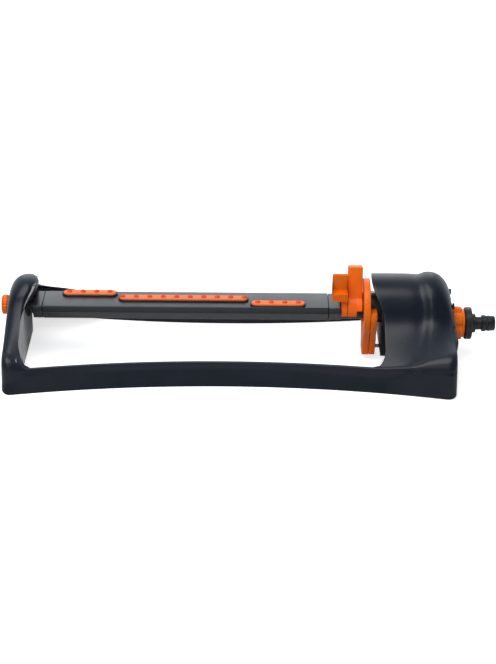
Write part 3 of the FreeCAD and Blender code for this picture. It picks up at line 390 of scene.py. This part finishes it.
frame_points = []
frame_faces = []
placed = 0
for side in (-1.0, 1.0):
    sill_left, sill_right = left_edge(np.array(RAIL_UP), side), right_edge(np.array(RAIL_UP))
    rail_x = np.concatenate([leg_columns(sill_left), np.linspace(sill_left, sill_right, 120)[1:-1],
                             housing_columns(sill_right)])
    rail = frame_skin(*np.broadcast_arrays(rail_x[None, :], LOW_ROWS[:, None]), side)
    leg_z = bare_section(np.full_like(HIGH_ROWS, LEG_INNER), HIGH_ROWS)[1]
    drum_z = bare_section(np.full_like(HIGH_ROWS, 133.0), HIGH_ROWS)[1]
    leg_z[0] = drum_z[0] = RAIL_UP
    leg_x = leg_columns(left_edge(leg_z, side))
    leg = frame_skin(leg_x, np.broadcast_to(HIGH_ROWS[:, None], leg_x.shape), side)
    drum_x = housing_columns(right_edge(drum_z))
    drum = frame_skin(drum_x, np.broadcast_to(HIGH_ROWS[:, None], drum_x.shape), side)
    for patch in (rail, leg, drum, end_disc(LEFT_END, side, PLUG_HOLE), end_disc(RIGHT_END, side, 0.0)):
        rows, columns = patch.shape[:2]
        frame_points.append(patch.reshape(-1, 3))
        frame_faces.append(grid_faces(rows, columns) + placed)
        placed += rows * columns
body_shell = mesh_object("frame_shell", np.concatenate(frame_points), np.concatenate(frame_faces))
weld(body_shell, 2e-5)
# The front wall has to face the front, so that the wall's thickness goes inwards.
if sum(face.normal.y * face.area for face in body_shell.data.polygons if face.center.y < -0.06) > 0:
    body_shell.data.flip_normals()
wall = body_shell.modifiers.new("wall", "SOLIDIFY")
wall.thickness = SHELL * MM
wall.offset = -1.0
lip = body_shell.modifiers.new("lip", "BEVEL")
lip.width = 0.0005
lip.segments = 2
lip.limit_method = "ANGLE"
lip.angle_limit = math.radians(50.0)
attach(body_shell, "base")


def moulded_grain():
    """A fine moulded-plastic grain: noise on Object coordinates gives a bump and a gloss mask."""
    group = bpy.data.node_groups.new("moulded_grain", "ShaderNodeTree")
    for name, kind, value in (("Grain per metre", "NodeSocketFloat", 2600.0),
                              ("Depth", "NodeSocketFloat", 0.12)):
        group.interface.new_socket(name, in_out="INPUT", socket_type=kind).default_value = value
    group.interface.new_socket("Normal", in_out="OUTPUT", socket_type="NodeSocketVector")
    group.interface.new_socket("Mottle", in_out="OUTPUT", socket_type="NodeSocketFloat")
    inner, wires = group.nodes, group.links
    entry = inner.new("NodeGroupInput")
    leave = inner.new("NodeGroupOutput")
    place = inner.new("ShaderNodeTexCoord")
    fine = inner.new("ShaderNodeTexNoise")
    fine.inputs["Detail"].default_value = 3.0
    broad = inner.new("ShaderNodeTexNoise")
    broad.inputs["Scale"].default_value = 38.0
    broad.inputs["Detail"].default_value = 4.0
    bump = inner.new("ShaderNodeBump")
    bump.inputs["Distance"].default_value = 0.0002
    wires.new(place.outputs["Object"], fine.inputs["Vector"])
    wires.new(place.outputs["Object"], broad.inputs["Vector"])
    wires.new(entry.outputs["Grain per metre"], fine.inputs["Scale"])
    wires.new(entry.outputs["Depth"], bump.inputs["Strength"])
    wires.new(fine.outputs["Fac"], bump.inputs["Height"])
    wires.new(bump.outputs["Normal"], leave.inputs["Normal"])
    wires.new(broad.outputs["Fac"], leave.inputs["Mottle"])
    return group


GRAIN = moulded_grain()


def plastic(name, dark, light, gloss, grain=2600.0, depth=0.12, specular=0.4):
    """Moulded plastic: two near colours mixed by a broad mottle, a gloss that drifts with it, and
    a fine grain in the normal."""
    material, nodes, links = material_with(name)
    shader = nodes["Principled BSDF"]
    texture = nodes.new("ShaderNodeGroup")
    texture.node_tree = GRAIN
    texture.inputs["Grain per metre"].default_value = grain
    texture.inputs["Depth"].default_value = depth
    colour = nodes.new("ShaderNodeValToRGB")
    colour.color_ramp.elements[0].position = 0.3
    colour.color_ramp.elements[0].color = (*dark, 1.0)
    colour.color_ramp.elements[1].position = 0.7
    colour.color_ramp.elements[1].color = (*light, 1.0)
    rough = nodes.new("ShaderNodeMapRange")
    rough.inputs["From Min"].default_value = 0.3
    rough.inputs["From Max"].default_value = 0.7
    rough.inputs["To Min"].default_value = gloss[0]
    rough.inputs["To Max"].default_value = gloss[1]
    links.new(texture.outputs["Mottle"], colour.inputs["Fac"])
    links.new(texture.outputs["Mottle"], rough.inputs["Value"])
    links.new(colour.outputs["Color"], shader.inputs["Base Color"])
    links.new(rough.outputs["Result"], shader.inputs["Roughness"])
    links.new(texture.outputs["Normal"], shader.inputs["Normal"])
    shader.inputs["Specular IOR Level"].default_value = specular
    return material


frame_paint = plastic("frame_plastic", (0.0033, 0.0068, 0.0145), (0.005, 0.0092, 0.0185),
                      gloss=(0.3, 0.38), grain=2200.0, depth=0.1, specular=0.3)
frame_paint.node_tree.nodes["Principled BSDF"].inputs["Sheen Weight"].default_value = 0.08
body_shell.data.materials.append(frame_paint)


def closed_rows(name, rows, wrap=False, sharp=35.0):
    """A closed skin over equal loops of points; its two ends are capped, or joined if wrapped."""
    count, size = rows.shape[:2]
    ring = np.arange(size)
    steps = count if wrap else count - 1
    faces = []
    for row in range(steps):
        low = row * size
        high = ((row + 1) % count) * size
        faces.append(np.stack([low + ring, low + (ring + 1) % size, high + (ring + 1) % size,
                               high + ring], axis=1))
    quads = [tuple(face) for face in np.concatenate(faces).tolist()]
    if not wrap:
        quads.append(tuple(range(size))[::-1])
        quads.append(tuple((count - 1) * size + ring))
    item = mesh_object(name, rows.reshape(-1, 3), quads, sharp)
    weld(item, 1e-7)
    item.data.shade_smooth()
    item.data.set_sharp_from_angle(angle=math.radians(sharp))
    return item


def rounded_outline(corners, radius, steps=5):
    """A closed outline whose corners are quadratic curves that start a radius before each corner."""
    corners = np.asarray(corners, dtype=float)
    radius = np.broadcast_to(np.asarray(radius, dtype=float), len(corners))[:, None]
    before = np.roll(corners, 1, axis=0) - corners
    after = np.roll(corners, -1, axis=0) - corners
    start = corners + before * np.minimum(radius / np.linalg.norm(before, axis=1)[:, None], 0.499)
    end = corners + after * np.minimum(radius / np.linalg.norm(after, axis=1)[:, None], 0.499)
    t = np.linspace(0.0, 1.0, steps)[None, :, None]
    curve = (1 - t) ** 2 * start[:, None] + 2 * t * (1 - t) * corners[:, None] + t * t * end[:, None]
    return curve.reshape(-1, 2)


def drawn_in(outline, inset):
    """A closed outline moved inwards by an inset along the mean normal of its two edges."""
    forward = np.roll(outline, -1, axis=0) - outline
    forward = forward / np.maximum(np.linalg.norm(forward, axis=1)[:, None], 1e-9)
    backward = np.roll(forward, 1, axis=0)
    normal = np.stack([-(forward + backward)[:, 1], (forward + backward)[:, 0]], axis=1)
    normal = normal / np.maximum(np.linalg.norm(normal, axis=1)[:, None], 1e-9)
    area = np.sum(outline[:, 0] * np.roll(outline[:, 1], -1) - np.roll(outline[:, 0], -1) * outline[:, 1])
    return outline + np.sign(area) * inset * normal


def bar(name, outline, start, end, edge):
    """A closed (y, z) outline about the tube's axis, carried along X, with quarter-round edges at
    both ends."""
    turn = np.linspace(0.0, math.pi / 2, 5)
    inset = edge * (1.0 - np.sin(turn))
    travel = edge * (1.0 - np.cos(turn))
    places = np.concatenate([start + travel, end - travel[::-1]])
    insets = np.concatenate([inset, inset[::-1]])
    rows = [np.column_stack([np.full(len(outline), place), drawn_in(outline, amount) + (0.0, AXIS_UP)])
            for place, amount in zip(places, insets)]
    return closed_rows(name, np.array(rows) * MM)


# The panel that closes the leg on its inner side: a thin web of the same moulding, standing just
# inside the arch and leaning with it, with the tube's bearing bush in its middle.
WEB_LEFT, WEB_RIGHT = -223.6, -221.2
WEB_REAR, WEB_TOP = 49.0, 26.5
skin_y, skin_z = bare_section(np.full_like(ALL_ROWS, WEB_LEFT), ALL_ROWS)
front_y = -np.maximum(skin_y - 0.6 * SHELL, 0.0)
rear_y = np.clip(skin_y - 0.9 * SHELL, 0.0, WEB_REAR)
web_z = np.minimum(skin_z, AXIS_UP + WEB_TOP)
web_outline = np.concatenate([np.column_stack([rear_y, web_z]),
                              np.column_stack([front_y, web_z])[::-1][1:]])
web_lean = arch_lean(web_outline[:, 1])
web_rows = np.array([np.column_stack([place + web_lean, web_outline])
                     for place in (WEB_LEFT, WEB_RIGHT)])
web = closed_rows("leg_web", web_rows * MM)
# The web is the frame's plastic polished smoother, but its base colour is lighter than the frame's: painted
# reflection of the bright surroundings that it faces at a grazing angle.
polished_web_paint_painted_reflection = plastic("polished_frame_plastic_painted_reflection", (0.012, 0.015, 0.019), (0.016, 0.02, 0.024),
                         gloss=(0.16, 0.22), grain=1500.0, depth=0.03, specular=0.8)
web_shader = polished_web_paint_painted_reflection.node_tree.nodes["Principled BSDF"]
web_shader.inputs["Sheen Weight"].default_value = 1.0
web_shader.inputs["Sheen Roughness"].default_value = 0.35
web.data.materials.append(polished_web_paint_painted_reflection)
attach(web, "base")
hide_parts("base_frame")

# ---------------------------------------------------------------------------------------------
# Spray tube: an extruded-looking hollow hexagon of grey plastic, flat deck up, with a raised
# rim moulded round each of the three nozzle strips.
# ---------------------------------------------------------------------------------------------
DECK_HALF, DECK_UP, KEEL_HALF, KEEL_DOWN = 18.0, 7.0, 10.0, 10.0
HEXAGON = np.array([(-DECK_HALF, DECK_UP), (-DECK_HALF, 0.5), (-KEEL_HALF, -KEEL_DOWN),
                    (KEEL_HALF, -KEEL_DOWN), (DECK_HALF, 0.5), (DECK_HALF, DECK_UP)])
CORNER_ROUND = 1.1
TUBE_START, TUBE_END = -202.35, 79.35
NOZZLE_FIRST, NOZZLE_PITCH = -177.4, 13.36
STRIP_HALF, RIM_HALF = 5.0, 6.2
ROWS = (("rear", 0, 3, 10.2, 6.4), ("middle", 4, 13, -0.6, 3.4), ("front", 14, 17, -11.4, 6.4))


def hexagon_outline(shrink=0.0):
    """The tube's outline with rounded corners, drawn in by an amount for the caps."""
    return rounded_outline(drawn_in(HEXAGON, shrink), CORNER_ROUND)


def slot_outline(x_start, x_end, across, half, steps=14):
    """A closed slot: two half-circles joined by straight sides, as (x, y) points."""
    turn = np.linspace(-math.pi / 2, math.pi / 2, steps)
    right_end = np.column_stack([x_end - half + half * np.cos(turn), across + half * np.sin(turn)])
    left_end = np.column_stack([x_start + half - half * np.cos(turn), across - half * np.sin(turn)])
    return np.concatenate([right_end, left_end])


def row_span(first, last, margin):
    """X from a margin before the row's first nozzle to a margin after its last."""
    return NOZZLE_FIRST + first * NOZZLE_PITCH - margin, NOZZLE_FIRST + last * NOZZLE_PITCH + margin


def rim_ring(name, x_start, x_end, across):
    """The raised rim: a slot-shaped wall with a half-round top, closed all the way round."""
    deck = AXIS_UP + DECK_UP
    profile = [(RIM_HALF, -0.6), (RIM_HALF, 1.2), (6.05, 1.6), (5.75, 1.8), (5.45, 1.75), (5.2, 1.5),
               (5.1, 1.0), (5.1, -0.6)]
    loops = []
    for half, up in profile:
        grow = half - STRIP_HALF
        loop = slot_outline(x_start - grow, x_end + grow, across, half)
        loops.append(np.column_stack([loop, np.full(len(loop), deck + up)]))
    return closed_rows(name, np.array(loops) * MM, wrap=True)


tube_paint = plastic("tube_plastic", (0.013, 0.017, 0.019), (0.017, 0.022, 0.025),
                     gloss=(0.3, 0.4), grain=1800.0, depth=0.1, specular=0.5)
tube = bar("spray_tube_body", hexagon_outline(), TUBE_START, TUBE_END, edge=0.35)
tube.data.materials.append(tube_paint)
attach(tube, "tube")
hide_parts("spray_tube")
rim_paint = plastic("rim_plastic", (0.02, 0.024, 0.027), (0.026, 0.03, 0.034), gloss=(0.3, 0.4),
                    grain=1800.0, depth=0.1)
for row_name, first, last, across, margin in ROWS:
    x_start, x_end = row_span(first, last, margin)
    rim = rim_ring(f"{row_name}_strip_rim", x_start, x_end, across)
    rim.data.materials.append(rim_paint)
    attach(rim, "tube")

# ---------------------------------------------------------------------------------------------
# Nozzle strips: three soft moulded rubber strips in light orange, pressed into the tube. Each
# small dome has one drilled hole, and the row steps from rear to front along the tube.
# ---------------------------------------------------------------------------------------------


def strip_body(name, x_start, x_end, across):
    """A slot-shaped pad whose top edge is a quarter-round."""
    deck = AXIS_UP + DECK_UP
    turn = np.linspace(0.0, math.pi / 2, 6)
    half = np.concatenate([[STRIP_HALF], STRIP_HALF - 1.2 * (1.0 - np.cos(turn))])
    up = np.concatenate([[0.05], 1.8 + 1.2 * np.sin(turn)])
    loops = []
    for radius, level in zip(half, up):
        loop = slot_outline(x_start + STRIP_HALF - radius, x_end - STRIP_HALF + radius, across, radius)
        loops.append(np.column_stack([loop, np.full(len(loop), deck + level)]))
    return closed_rows(name, np.array(loops) * MM)


def turned_about(name, profile, centre, axis, steps=40, sharp=35.0):
    """A (travel, radius) profile turned about a line along X or Z; the profile is closed on the
    line by a pole at each end, or on itself if it never meets the line."""
    travel, radius = np.asarray(profile, dtype=float).T
    turn = np.linspace(0.0, 2 * math.pi, steps, endpoint=False)
    across = radius[:, None] * np.cos(turn)
    over = radius[:, None] * np.sin(turn)
    along = np.broadcast_to(travel[:, None], across.shape)
    order = (along, across, over) if axis == "X" else (across, over, along)
    rows = np.stack(order, axis=-1) + np.asarray(centre, dtype=float)
    return closed_rows(name, rows * MM, wrap=radius.min() > 0.2, sharp=sharp)


def soft_dome(name, x, across):
    """One nozzle: a low dome that turns down into a narrow hole at its top."""
    base = AXIS_UP + DECK_UP + 2.7
    profile = [(-0.5, 0.001), (-0.5, 2.8), (0.2, 2.8), (0.5, 2.6), (1.1, 2.4), (1.7, 1.95), (2.05, 1.4),
               (2.15, 0.95), (2.1, 0.7), (1.8, 0.58), (0.8, 0.52), (0.1, 0.5), (0.1, 0.001)]
    return turned_about(name, profile, (x, across, base), "Z", steps=28, sharp=50.0)


strip_paint = plastic("strip_rubber", (0.92, 0.15, 0.02), (1.0, 0.2, 0.035), gloss=(0.5, 0.62),
                      grain=1500.0, depth=0.08)
# The domes get a darker, redder copy of the strip's rubber: painted shade for their fronts, which turn away
# from the light.
dome_rubber_painted_shade = plastic("nozzle_rubber_painted_shade", (0.72, 0.075, 0.012), (0.82, 0.1, 0.02), gloss=(0.5, 0.62),
                       grain=1500.0, depth=0.08)
for row_name, first, last, across, margin in ROWS:
    x_start, x_end = row_span(first, last, margin)
    strip = strip_body(f"{row_name}_strip", x_start, x_end, across)
    strip.data.materials.append(strip_paint)
    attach(strip, "tube")
    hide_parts(f"{row_name}_nozzle_strip")
    for number in range(first, last + 1):
        dome = soft_dome(f"nozzle_{number + 1}", NOZZLE_FIRST + number * NOZZLE_PITCH,
                         across)
        dome.data.materials.append(dome_rubber_painted_shade)
        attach(dome, "tube")

# ---------------------------------------------------------------------------------------------
# End caps: one grey cap glued into each end of the tube. The left one carries the journal that
# turns in the leg; the right one holds the black drive neck.
# ---------------------------------------------------------------------------------------------
left_cap = bar("left_cap", hexagon_outline(0.2), -212.0, -202.65, edge=0.8)
left_journal = turned_about("left_journal", [(-236.3, 4.2), (-236.3, 6.5), (-236.0, 6.8), (-211.5, 6.8),
                                             (-211.5, 4.2)], (0, 0, AXIS_UP), "X")
right_cap = bar("right_cap", hexagon_outline(0.2), 79.65, 91.5, edge=0.8)
drive_neck = turned_about("drive_neck_skin", [(91.3, 7.0), (91.3, 11.2), (91.6, 11.5), (135.9, 11.5),
                                              (136.0, 10.0), (143.0, 10.0), (143.0, 7.0)],
                          (0, 0, AXIS_UP), "X", steps=64)
for item, node in ((left_cap, "left_end_cap"), (right_cap, "right_end_cap")):
    item.data.materials.append(tube_paint)
    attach(item, "tube")
    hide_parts(node)
black_paint = plastic("black_plastic", (0.009, 0.0095, 0.011), (0.0125, 0.013, 0.015),
                      gloss=(0.3, 0.42), grain=2400.0, depth=0.12)
left_journal.data.materials.append(rim_paint)
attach(left_journal, "tube")
drive_neck.data.materials.append(black_paint)
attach(drive_neck, "tube")
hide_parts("drive_neck")

# ---------------------------------------------------------------------------------------------
# Drain plug: a bright orange knob outside the leg, well rounded at its outer face and ribbed for
# the fingers. Its stem, seal and cleaning needle slide out of the journal with it.
# ---------------------------------------------------------------------------------------------
orange_paint = plastic("orange_plastic", (1.0, 0.155, 0.0), (1.0, 0.185, 0.001),
                       gloss=(0.32, 0.42), grain=2000.0, depth=0.1, specular=0.3)


def ribbed_knob(name, start, end, radius, ribs, depth, centre, bore=0.001, edge=0.9, phase=0.0,
                taper=0.0):
    """A knob about X whose rim radius falls by a raised cosine in each of its finger grooves; the
    grooves fade out before both faces."""
    turn = np.linspace(0.0, 2 * math.pi, ribs * 12, endpoint=False)
    curve = np.linspace(0.0, math.pi / 2, 5)
    travel = np.concatenate([start + edge * (1 - np.cos(curve)), np.linspace(start, end, 7)[1:-1],
                             end - edge * (1 - np.cos(curve[::-1]))])
    inset = np.concatenate([edge * (1 - np.sin(curve)), np.zeros(5), edge * (1 - np.sin(curve[::-1]))])
    groove = depth * (0.5 + 0.5 * np.cos(ribs * (turn - phase))) ** 3
    narrowing = taper * (end - travel) / (end - start)
    rim = radius - (inset + narrowing)[:, None] - groove[None, :]
    along = np.broadcast_to(travel[:, None], rim.shape)
    skin = np.stack([along, rim * np.cos(turn), rim * np.sin(turn)], axis=-1)
    inner = np.stack([np.full_like(turn, start), bore * np.cos(turn), bore * np.sin(turn)], axis=-1)
    far = inner + np.array([end - start, 0.0, 0.0])
    rows = np.concatenate([inner[None], skin, far[None]]) + np.asarray(centre, dtype=float)
    return closed_rows(name, rows * MM, wrap=bore > 0.2, sharp=40.0)


plug_knob = ribbed_knob("plug_knob", -243.9, -236.9, 9.7, 18, 0.45, (0, 0, AXIS_UP), edge=2.2)
plug_stem = turned_about("plug_stem", [(-237.2, 0.001), (-237.2, 3.9), (-228.0, 3.9), (-228.0, 2.8),
                                       (-226.0, 2.8), (-226.0, 3.9), (-222.6, 3.9), (-222.0, 3.3),
                                       (-222.0, 0.001)], (0, 0, AXIS_UP), "X")
for item in (plug_knob, plug_stem):
    item.data.materials.append(orange_paint)
    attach(item, "drain_plug")
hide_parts("end_plug")

# ---------------------------------------------------------------------------------------------
# Range sliders: two orange rings that clip on the neck, each with a tall thumb tab. They are
# turned about the tube's axis to set how far it swings to either side.
# ---------------------------------------------------------------------------------------------
SLIDER_LEAN = math.radians(14.0)
SWEEP_RADIUS, TAB_TIP = 19.9, 42.2


def leaned(outline, angle):
    """A (y, z) outline about the tube axis, turned by an angle towards the front."""
    c, s = math.cos(angle), math.sin(angle)
    return np.column_stack([outline[:, 0] * c - outline[:, 1] * s,
                            outline[:, 0] * s + outline[:, 1] * c])


def arc_points(radius, start, end, steps):
    """Points on a circle about the tube axis, by angle in degrees from straight up to the front."""
    turn = np.radians(np.linspace(start, end, steps))
    return np.column_stack([-radius * np.sin(turn), radius * np.cos(turn)])


def clip_outline(level, inner=11.85, outer=14.35):
    """A ring that is open below a level, as the (y, z) outline of its wall."""
    far = 90.0 - math.degrees(math.asin(level / outer))
    near = 90.0 - math.degrees(math.asin(level / inner))
    return np.concatenate([arc_points(outer, -far, far, 60), arc_points(inner, near, -near, 60)])


front_arc = arc_points(SWEEP_RADIUS, -1.2, 36.0, 12)
front_tab = np.concatenate([rounded_outline([(-11.8, 24.1), (-2.6, 24.1), (-2.6, TAB_TIP), (0.45, TAB_TIP)],
                                            [1.2, 0.8, 0.9, 0.9])[3:-2], front_arc])
tab_foot = rounded_outline([(-7.8, 11.0), (-7.8, 20.5), (0.45, 20.5), (0.45, 11.0)], 0.6)
rear_tab = rounded_outline([(-9.8, 9.0), (-9.8, TAB_TIP), (2.5, TAB_TIP), (2.5, 9.0)],
                           [0.5, 1.6, 1.3, 0.5])
slider_pieces = (
    ("front_slider", "front_tab", front_tab, SLIDER_LEAN, 82.65, 98.15, 0.8),
    ("front_slider", "front_tab_foot", tab_foot, SLIDER_LEAN, 92.05, 98.1, 0.5),
    ("front_slider", "front_slider_clip", clip_outline(-4.0), 0.0, 92.05, 98.15, 0.4),
    ("rear_slider", "rear_tab", rear_tab, -SLIDER_LEAN, 98.55, 112.95, 1.6),
    ("rear_slider", "rear_slider_clip", clip_outline(-4.0), 0.0, 98.6, 107.5, 0.4),
    ("rear_slider", "rear_slider_cuff", clip_outline(2.0), 0.0, 107.0, 112.9, 0.4))
for body, name, outline, lean, start, end, edge in slider_pieces:
    item = bar(name, leaned(outline, lean), start, end, edge=edge)
    item.data.materials.append(orange_paint)
    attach(item, body)
    if name.endswith("tab"):
        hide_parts(body.replace("slider", "range_slider"))

# ---------------------------------------------------------------------------------------------
# Trip lever: a round orange plate that turns a few degrees on the gearbox boss, a second plate
# riveted behind its lower lobe, and a rod that reaches back to the reversing flap.
# ---------------------------------------------------------------------------------------------
TRIP_RADIUS, TONGUE_DROP, TRIP_BORE = 28.9, 48.4, 15.1
SIDE_ACROSS, SIDE_DOWN, SIDE_AWAY = 0.918, 0.396, 28.2
CORNER_POWER = 40
ARM_TOP = 5.0


def lever_radius(turn):
    """Distance from the axis to the lever's edge: the larger of the disc's and of the tapering
    tongue's. The tongue's edge is the soft minimum of its flat end and its straight side, a line
    SIDE_AWAY from the axis whose normal is (SIDE_ACROSS, SIDE_DOWN)."""
    from_down = np.abs((turn + math.pi / 2 + math.pi) % (2 * math.pi) - math.pi)
    low = np.minimum(from_down, 1.2)
    flat_end = np.cos(low) / TONGUE_DROP
    side = (SIDE_ACROSS * np.sin(low) + SIDE_DOWN * np.cos(low)) / SIDE_AWAY
    tongue = (flat_end ** CORNER_POWER + side ** CORNER_POWER) ** (-1.0 / CORNER_POWER)
    return np.where(from_down < 1.0, np.maximum(tongue, TRIP_RADIUS), TRIP_RADIUS)


def plate_with_bore(name, start, end, edge=0.7):
    """The lever plate: its polar outline with rounded edges, closed through its round bore."""
    turn = np.linspace(0.0, 2 * math.pi, 180, endpoint=False)
    curve = np.linspace(0.0, math.pi / 2, 5)
    travel = np.concatenate([[start], start + edge * (1 - np.cos(curve)),
                             end - edge * (1 - np.cos(curve[::-1])), [end]])
    inset = edge * (1 - np.sin(curve))
    radius = lever_radius(turn)
    loops = ([np.full_like(turn, TRIP_BORE)] + [radius - amount for amount in inset]
             + [radius - amount for amount in inset[::-1]] + [np.full_like(turn, TRIP_BORE)])
    rows = np.stack([np.stack([np.full_like(turn, place), loop * np.cos(turn),
                               AXIS_UP + loop * np.sin(turn)], axis=-1)
                     for place, loop in zip(travel, loops)])
    return closed_rows(name, rows * MM, wrap=True, sharp=40.0)


trip_plate = plate_with_bore("trip_plate_skin", 114.0, 120.4)
edge_over = math.asin(ARM_TOP / TRIP_RADIUS)
lower = np.linspace(-math.pi - edge_over, edge_over, 110)
arm_edge = np.column_stack([lever_radius(lower) * np.cos(lower), lever_radius(lower) * np.sin(lower)])
bore_over = math.asin(ARM_TOP / TRIP_BORE)
within = np.linspace(bore_over, -math.pi - bore_over, 60)
arm_bore = TRIP_BORE * np.column_stack([np.cos(within), np.sin(within)])
trip_arm = bar("trip_arm_skin", np.concatenate([arm_edge * 0.996, arm_bore]), 120.7, 126.8, edge=0.6)
for item, node in ((trip_plate, "trip_plate"), (trip_arm, "trip_arm")):
    item.data.materials.append(orange_paint)
    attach(item, "trip_lever")
    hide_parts(node)

# ---------------------------------------------------------------------------------------------
# Inlet: a black nipple with the usual stepped barrel for a push-fit hose connector, and an orange
# collar behind its flange that turns the flow control.
# ---------------------------------------------------------------------------------------------
INLET_UP = 36.0
barrel = [(190.0, 6.8), (190.0, 9.8), (215.5, 9.8), (215.5, 15.2), (216.3, 16.0), (221.6, 16.0),
          (222.4, 15.2), (222.4, 9.5), (225.9, 9.5), (226.4, 9.0), (226.4, 6.9), (226.9, 6.5),
          (232.4, 6.5), (232.8, 6.9), (232.8, 7.9), (233.2, 8.25), (236.0, 8.25), (236.4, 7.9),
          (236.4, 6.6), (238.4, 6.6), (238.4, 7.4), (238.8, 7.8), (240.6, 7.8), (241.0, 7.5),
          (244.6, 7.5), (245.5, 7.1), (246.0, 6.3), (246.0, 4.9), (245.6, 4.6), (222.4, 4.6),
          (222.4, 6.8)]
nipple = turned_about("nipple_skin", barrel, (0, 0, INLET_UP), "X", steps=72, sharp=30.0)
nipple.data.materials.append(black_paint)
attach(nipple, "base")
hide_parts("inlet_nipple")
collar = ribbed_knob("flow_collar", 203.5, 212.9, 16.2, 6, 3.4, (0, 0, INLET_UP), bore=10.0, edge=1.4,
                     phase=math.radians(47.0), taper=-1.0)
collar_rim = turned_about("flow_collar_rim", [(212.3, 10.0), (212.3, 13.6), (212.7, 14.0), (214.7, 14.0),
                                              (215.1, 13.6), (215.15, 10.0)],
                          (0, 0, INLET_UP), "X", steps=72)
for item in (collar, collar_rim):
    item.data.materials.append(orange_paint)
    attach(item, "flow_control")
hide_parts("flow_knob")

# ---------------------------------------------------------------------------------------------
# Inside pieces: gearbox walls in black plastic, gears and valve in pale acetal, pins and screen in
# stainless steel, blackened screws and rubber seals. Their solids have the right shape as they are.
# ---------------------------------------------------------------------------------------------
acetal_paint = plastic("acetal", (0.72, 0.7, 0.64), (0.8, 0.78, 0.72), gloss=(0.35, 0.45), depth=0.05)
rubber_paint = plastic("seal_rubber", (0.012, 0.012, 0.012), (0.02, 0.02, 0.02), gloss=(0.6, 0.75),
                       depth=0.2)
steel_paint = plastic("pin_steel", (0.55, 0.55, 0.54), (0.65, 0.65, 0.64), gloss=(0.22, 0.34),
                      grain=900.0, depth=0.03)
steel_paint.node_tree.nodes["Principled BSDF"].inputs["Metallic"].default_value = 1.0
dark_screw_paint = plastic("blackened_screw", (0.012, 0.012, 0.013), (0.02, 0.02, 0.022),
                           gloss=(0.35, 0.5), grain=900.0, depth=0.05)
dark_screw_paint.node_tree.nodes["Principled BSDF"].inputs["Metallic"].default_value = 0.6
finishes = {"black_plastic": black_paint, "gear_plastic": acetal_paint, "seal_rubber": rubber_paint,
            "steel": steel_paint, "orange_plastic": orange_paint, "frame_plastic": frame_paint,
            "tube_plastic": tube_paint, "strip_rubber": strip_paint}
for entry in frame["record"]["subparts"]:
    solid = frame["nodes"][entry["node"]]
    solid.data.materials.clear()
    solid.data.materials.append(finishes[entry["material_slot"]])
# The tube's bearing bush gets the black plastic in place of its own finish: painted shade, for the shadowed
# inside of the leg about the tube's end.
frame["nodes"]["tube_bearing"].data.materials[0] = black_paint
for name, solid in frame["nodes"].items():
    if "screw" in name:
        solid.data.materials[0] = dark_screw_paint
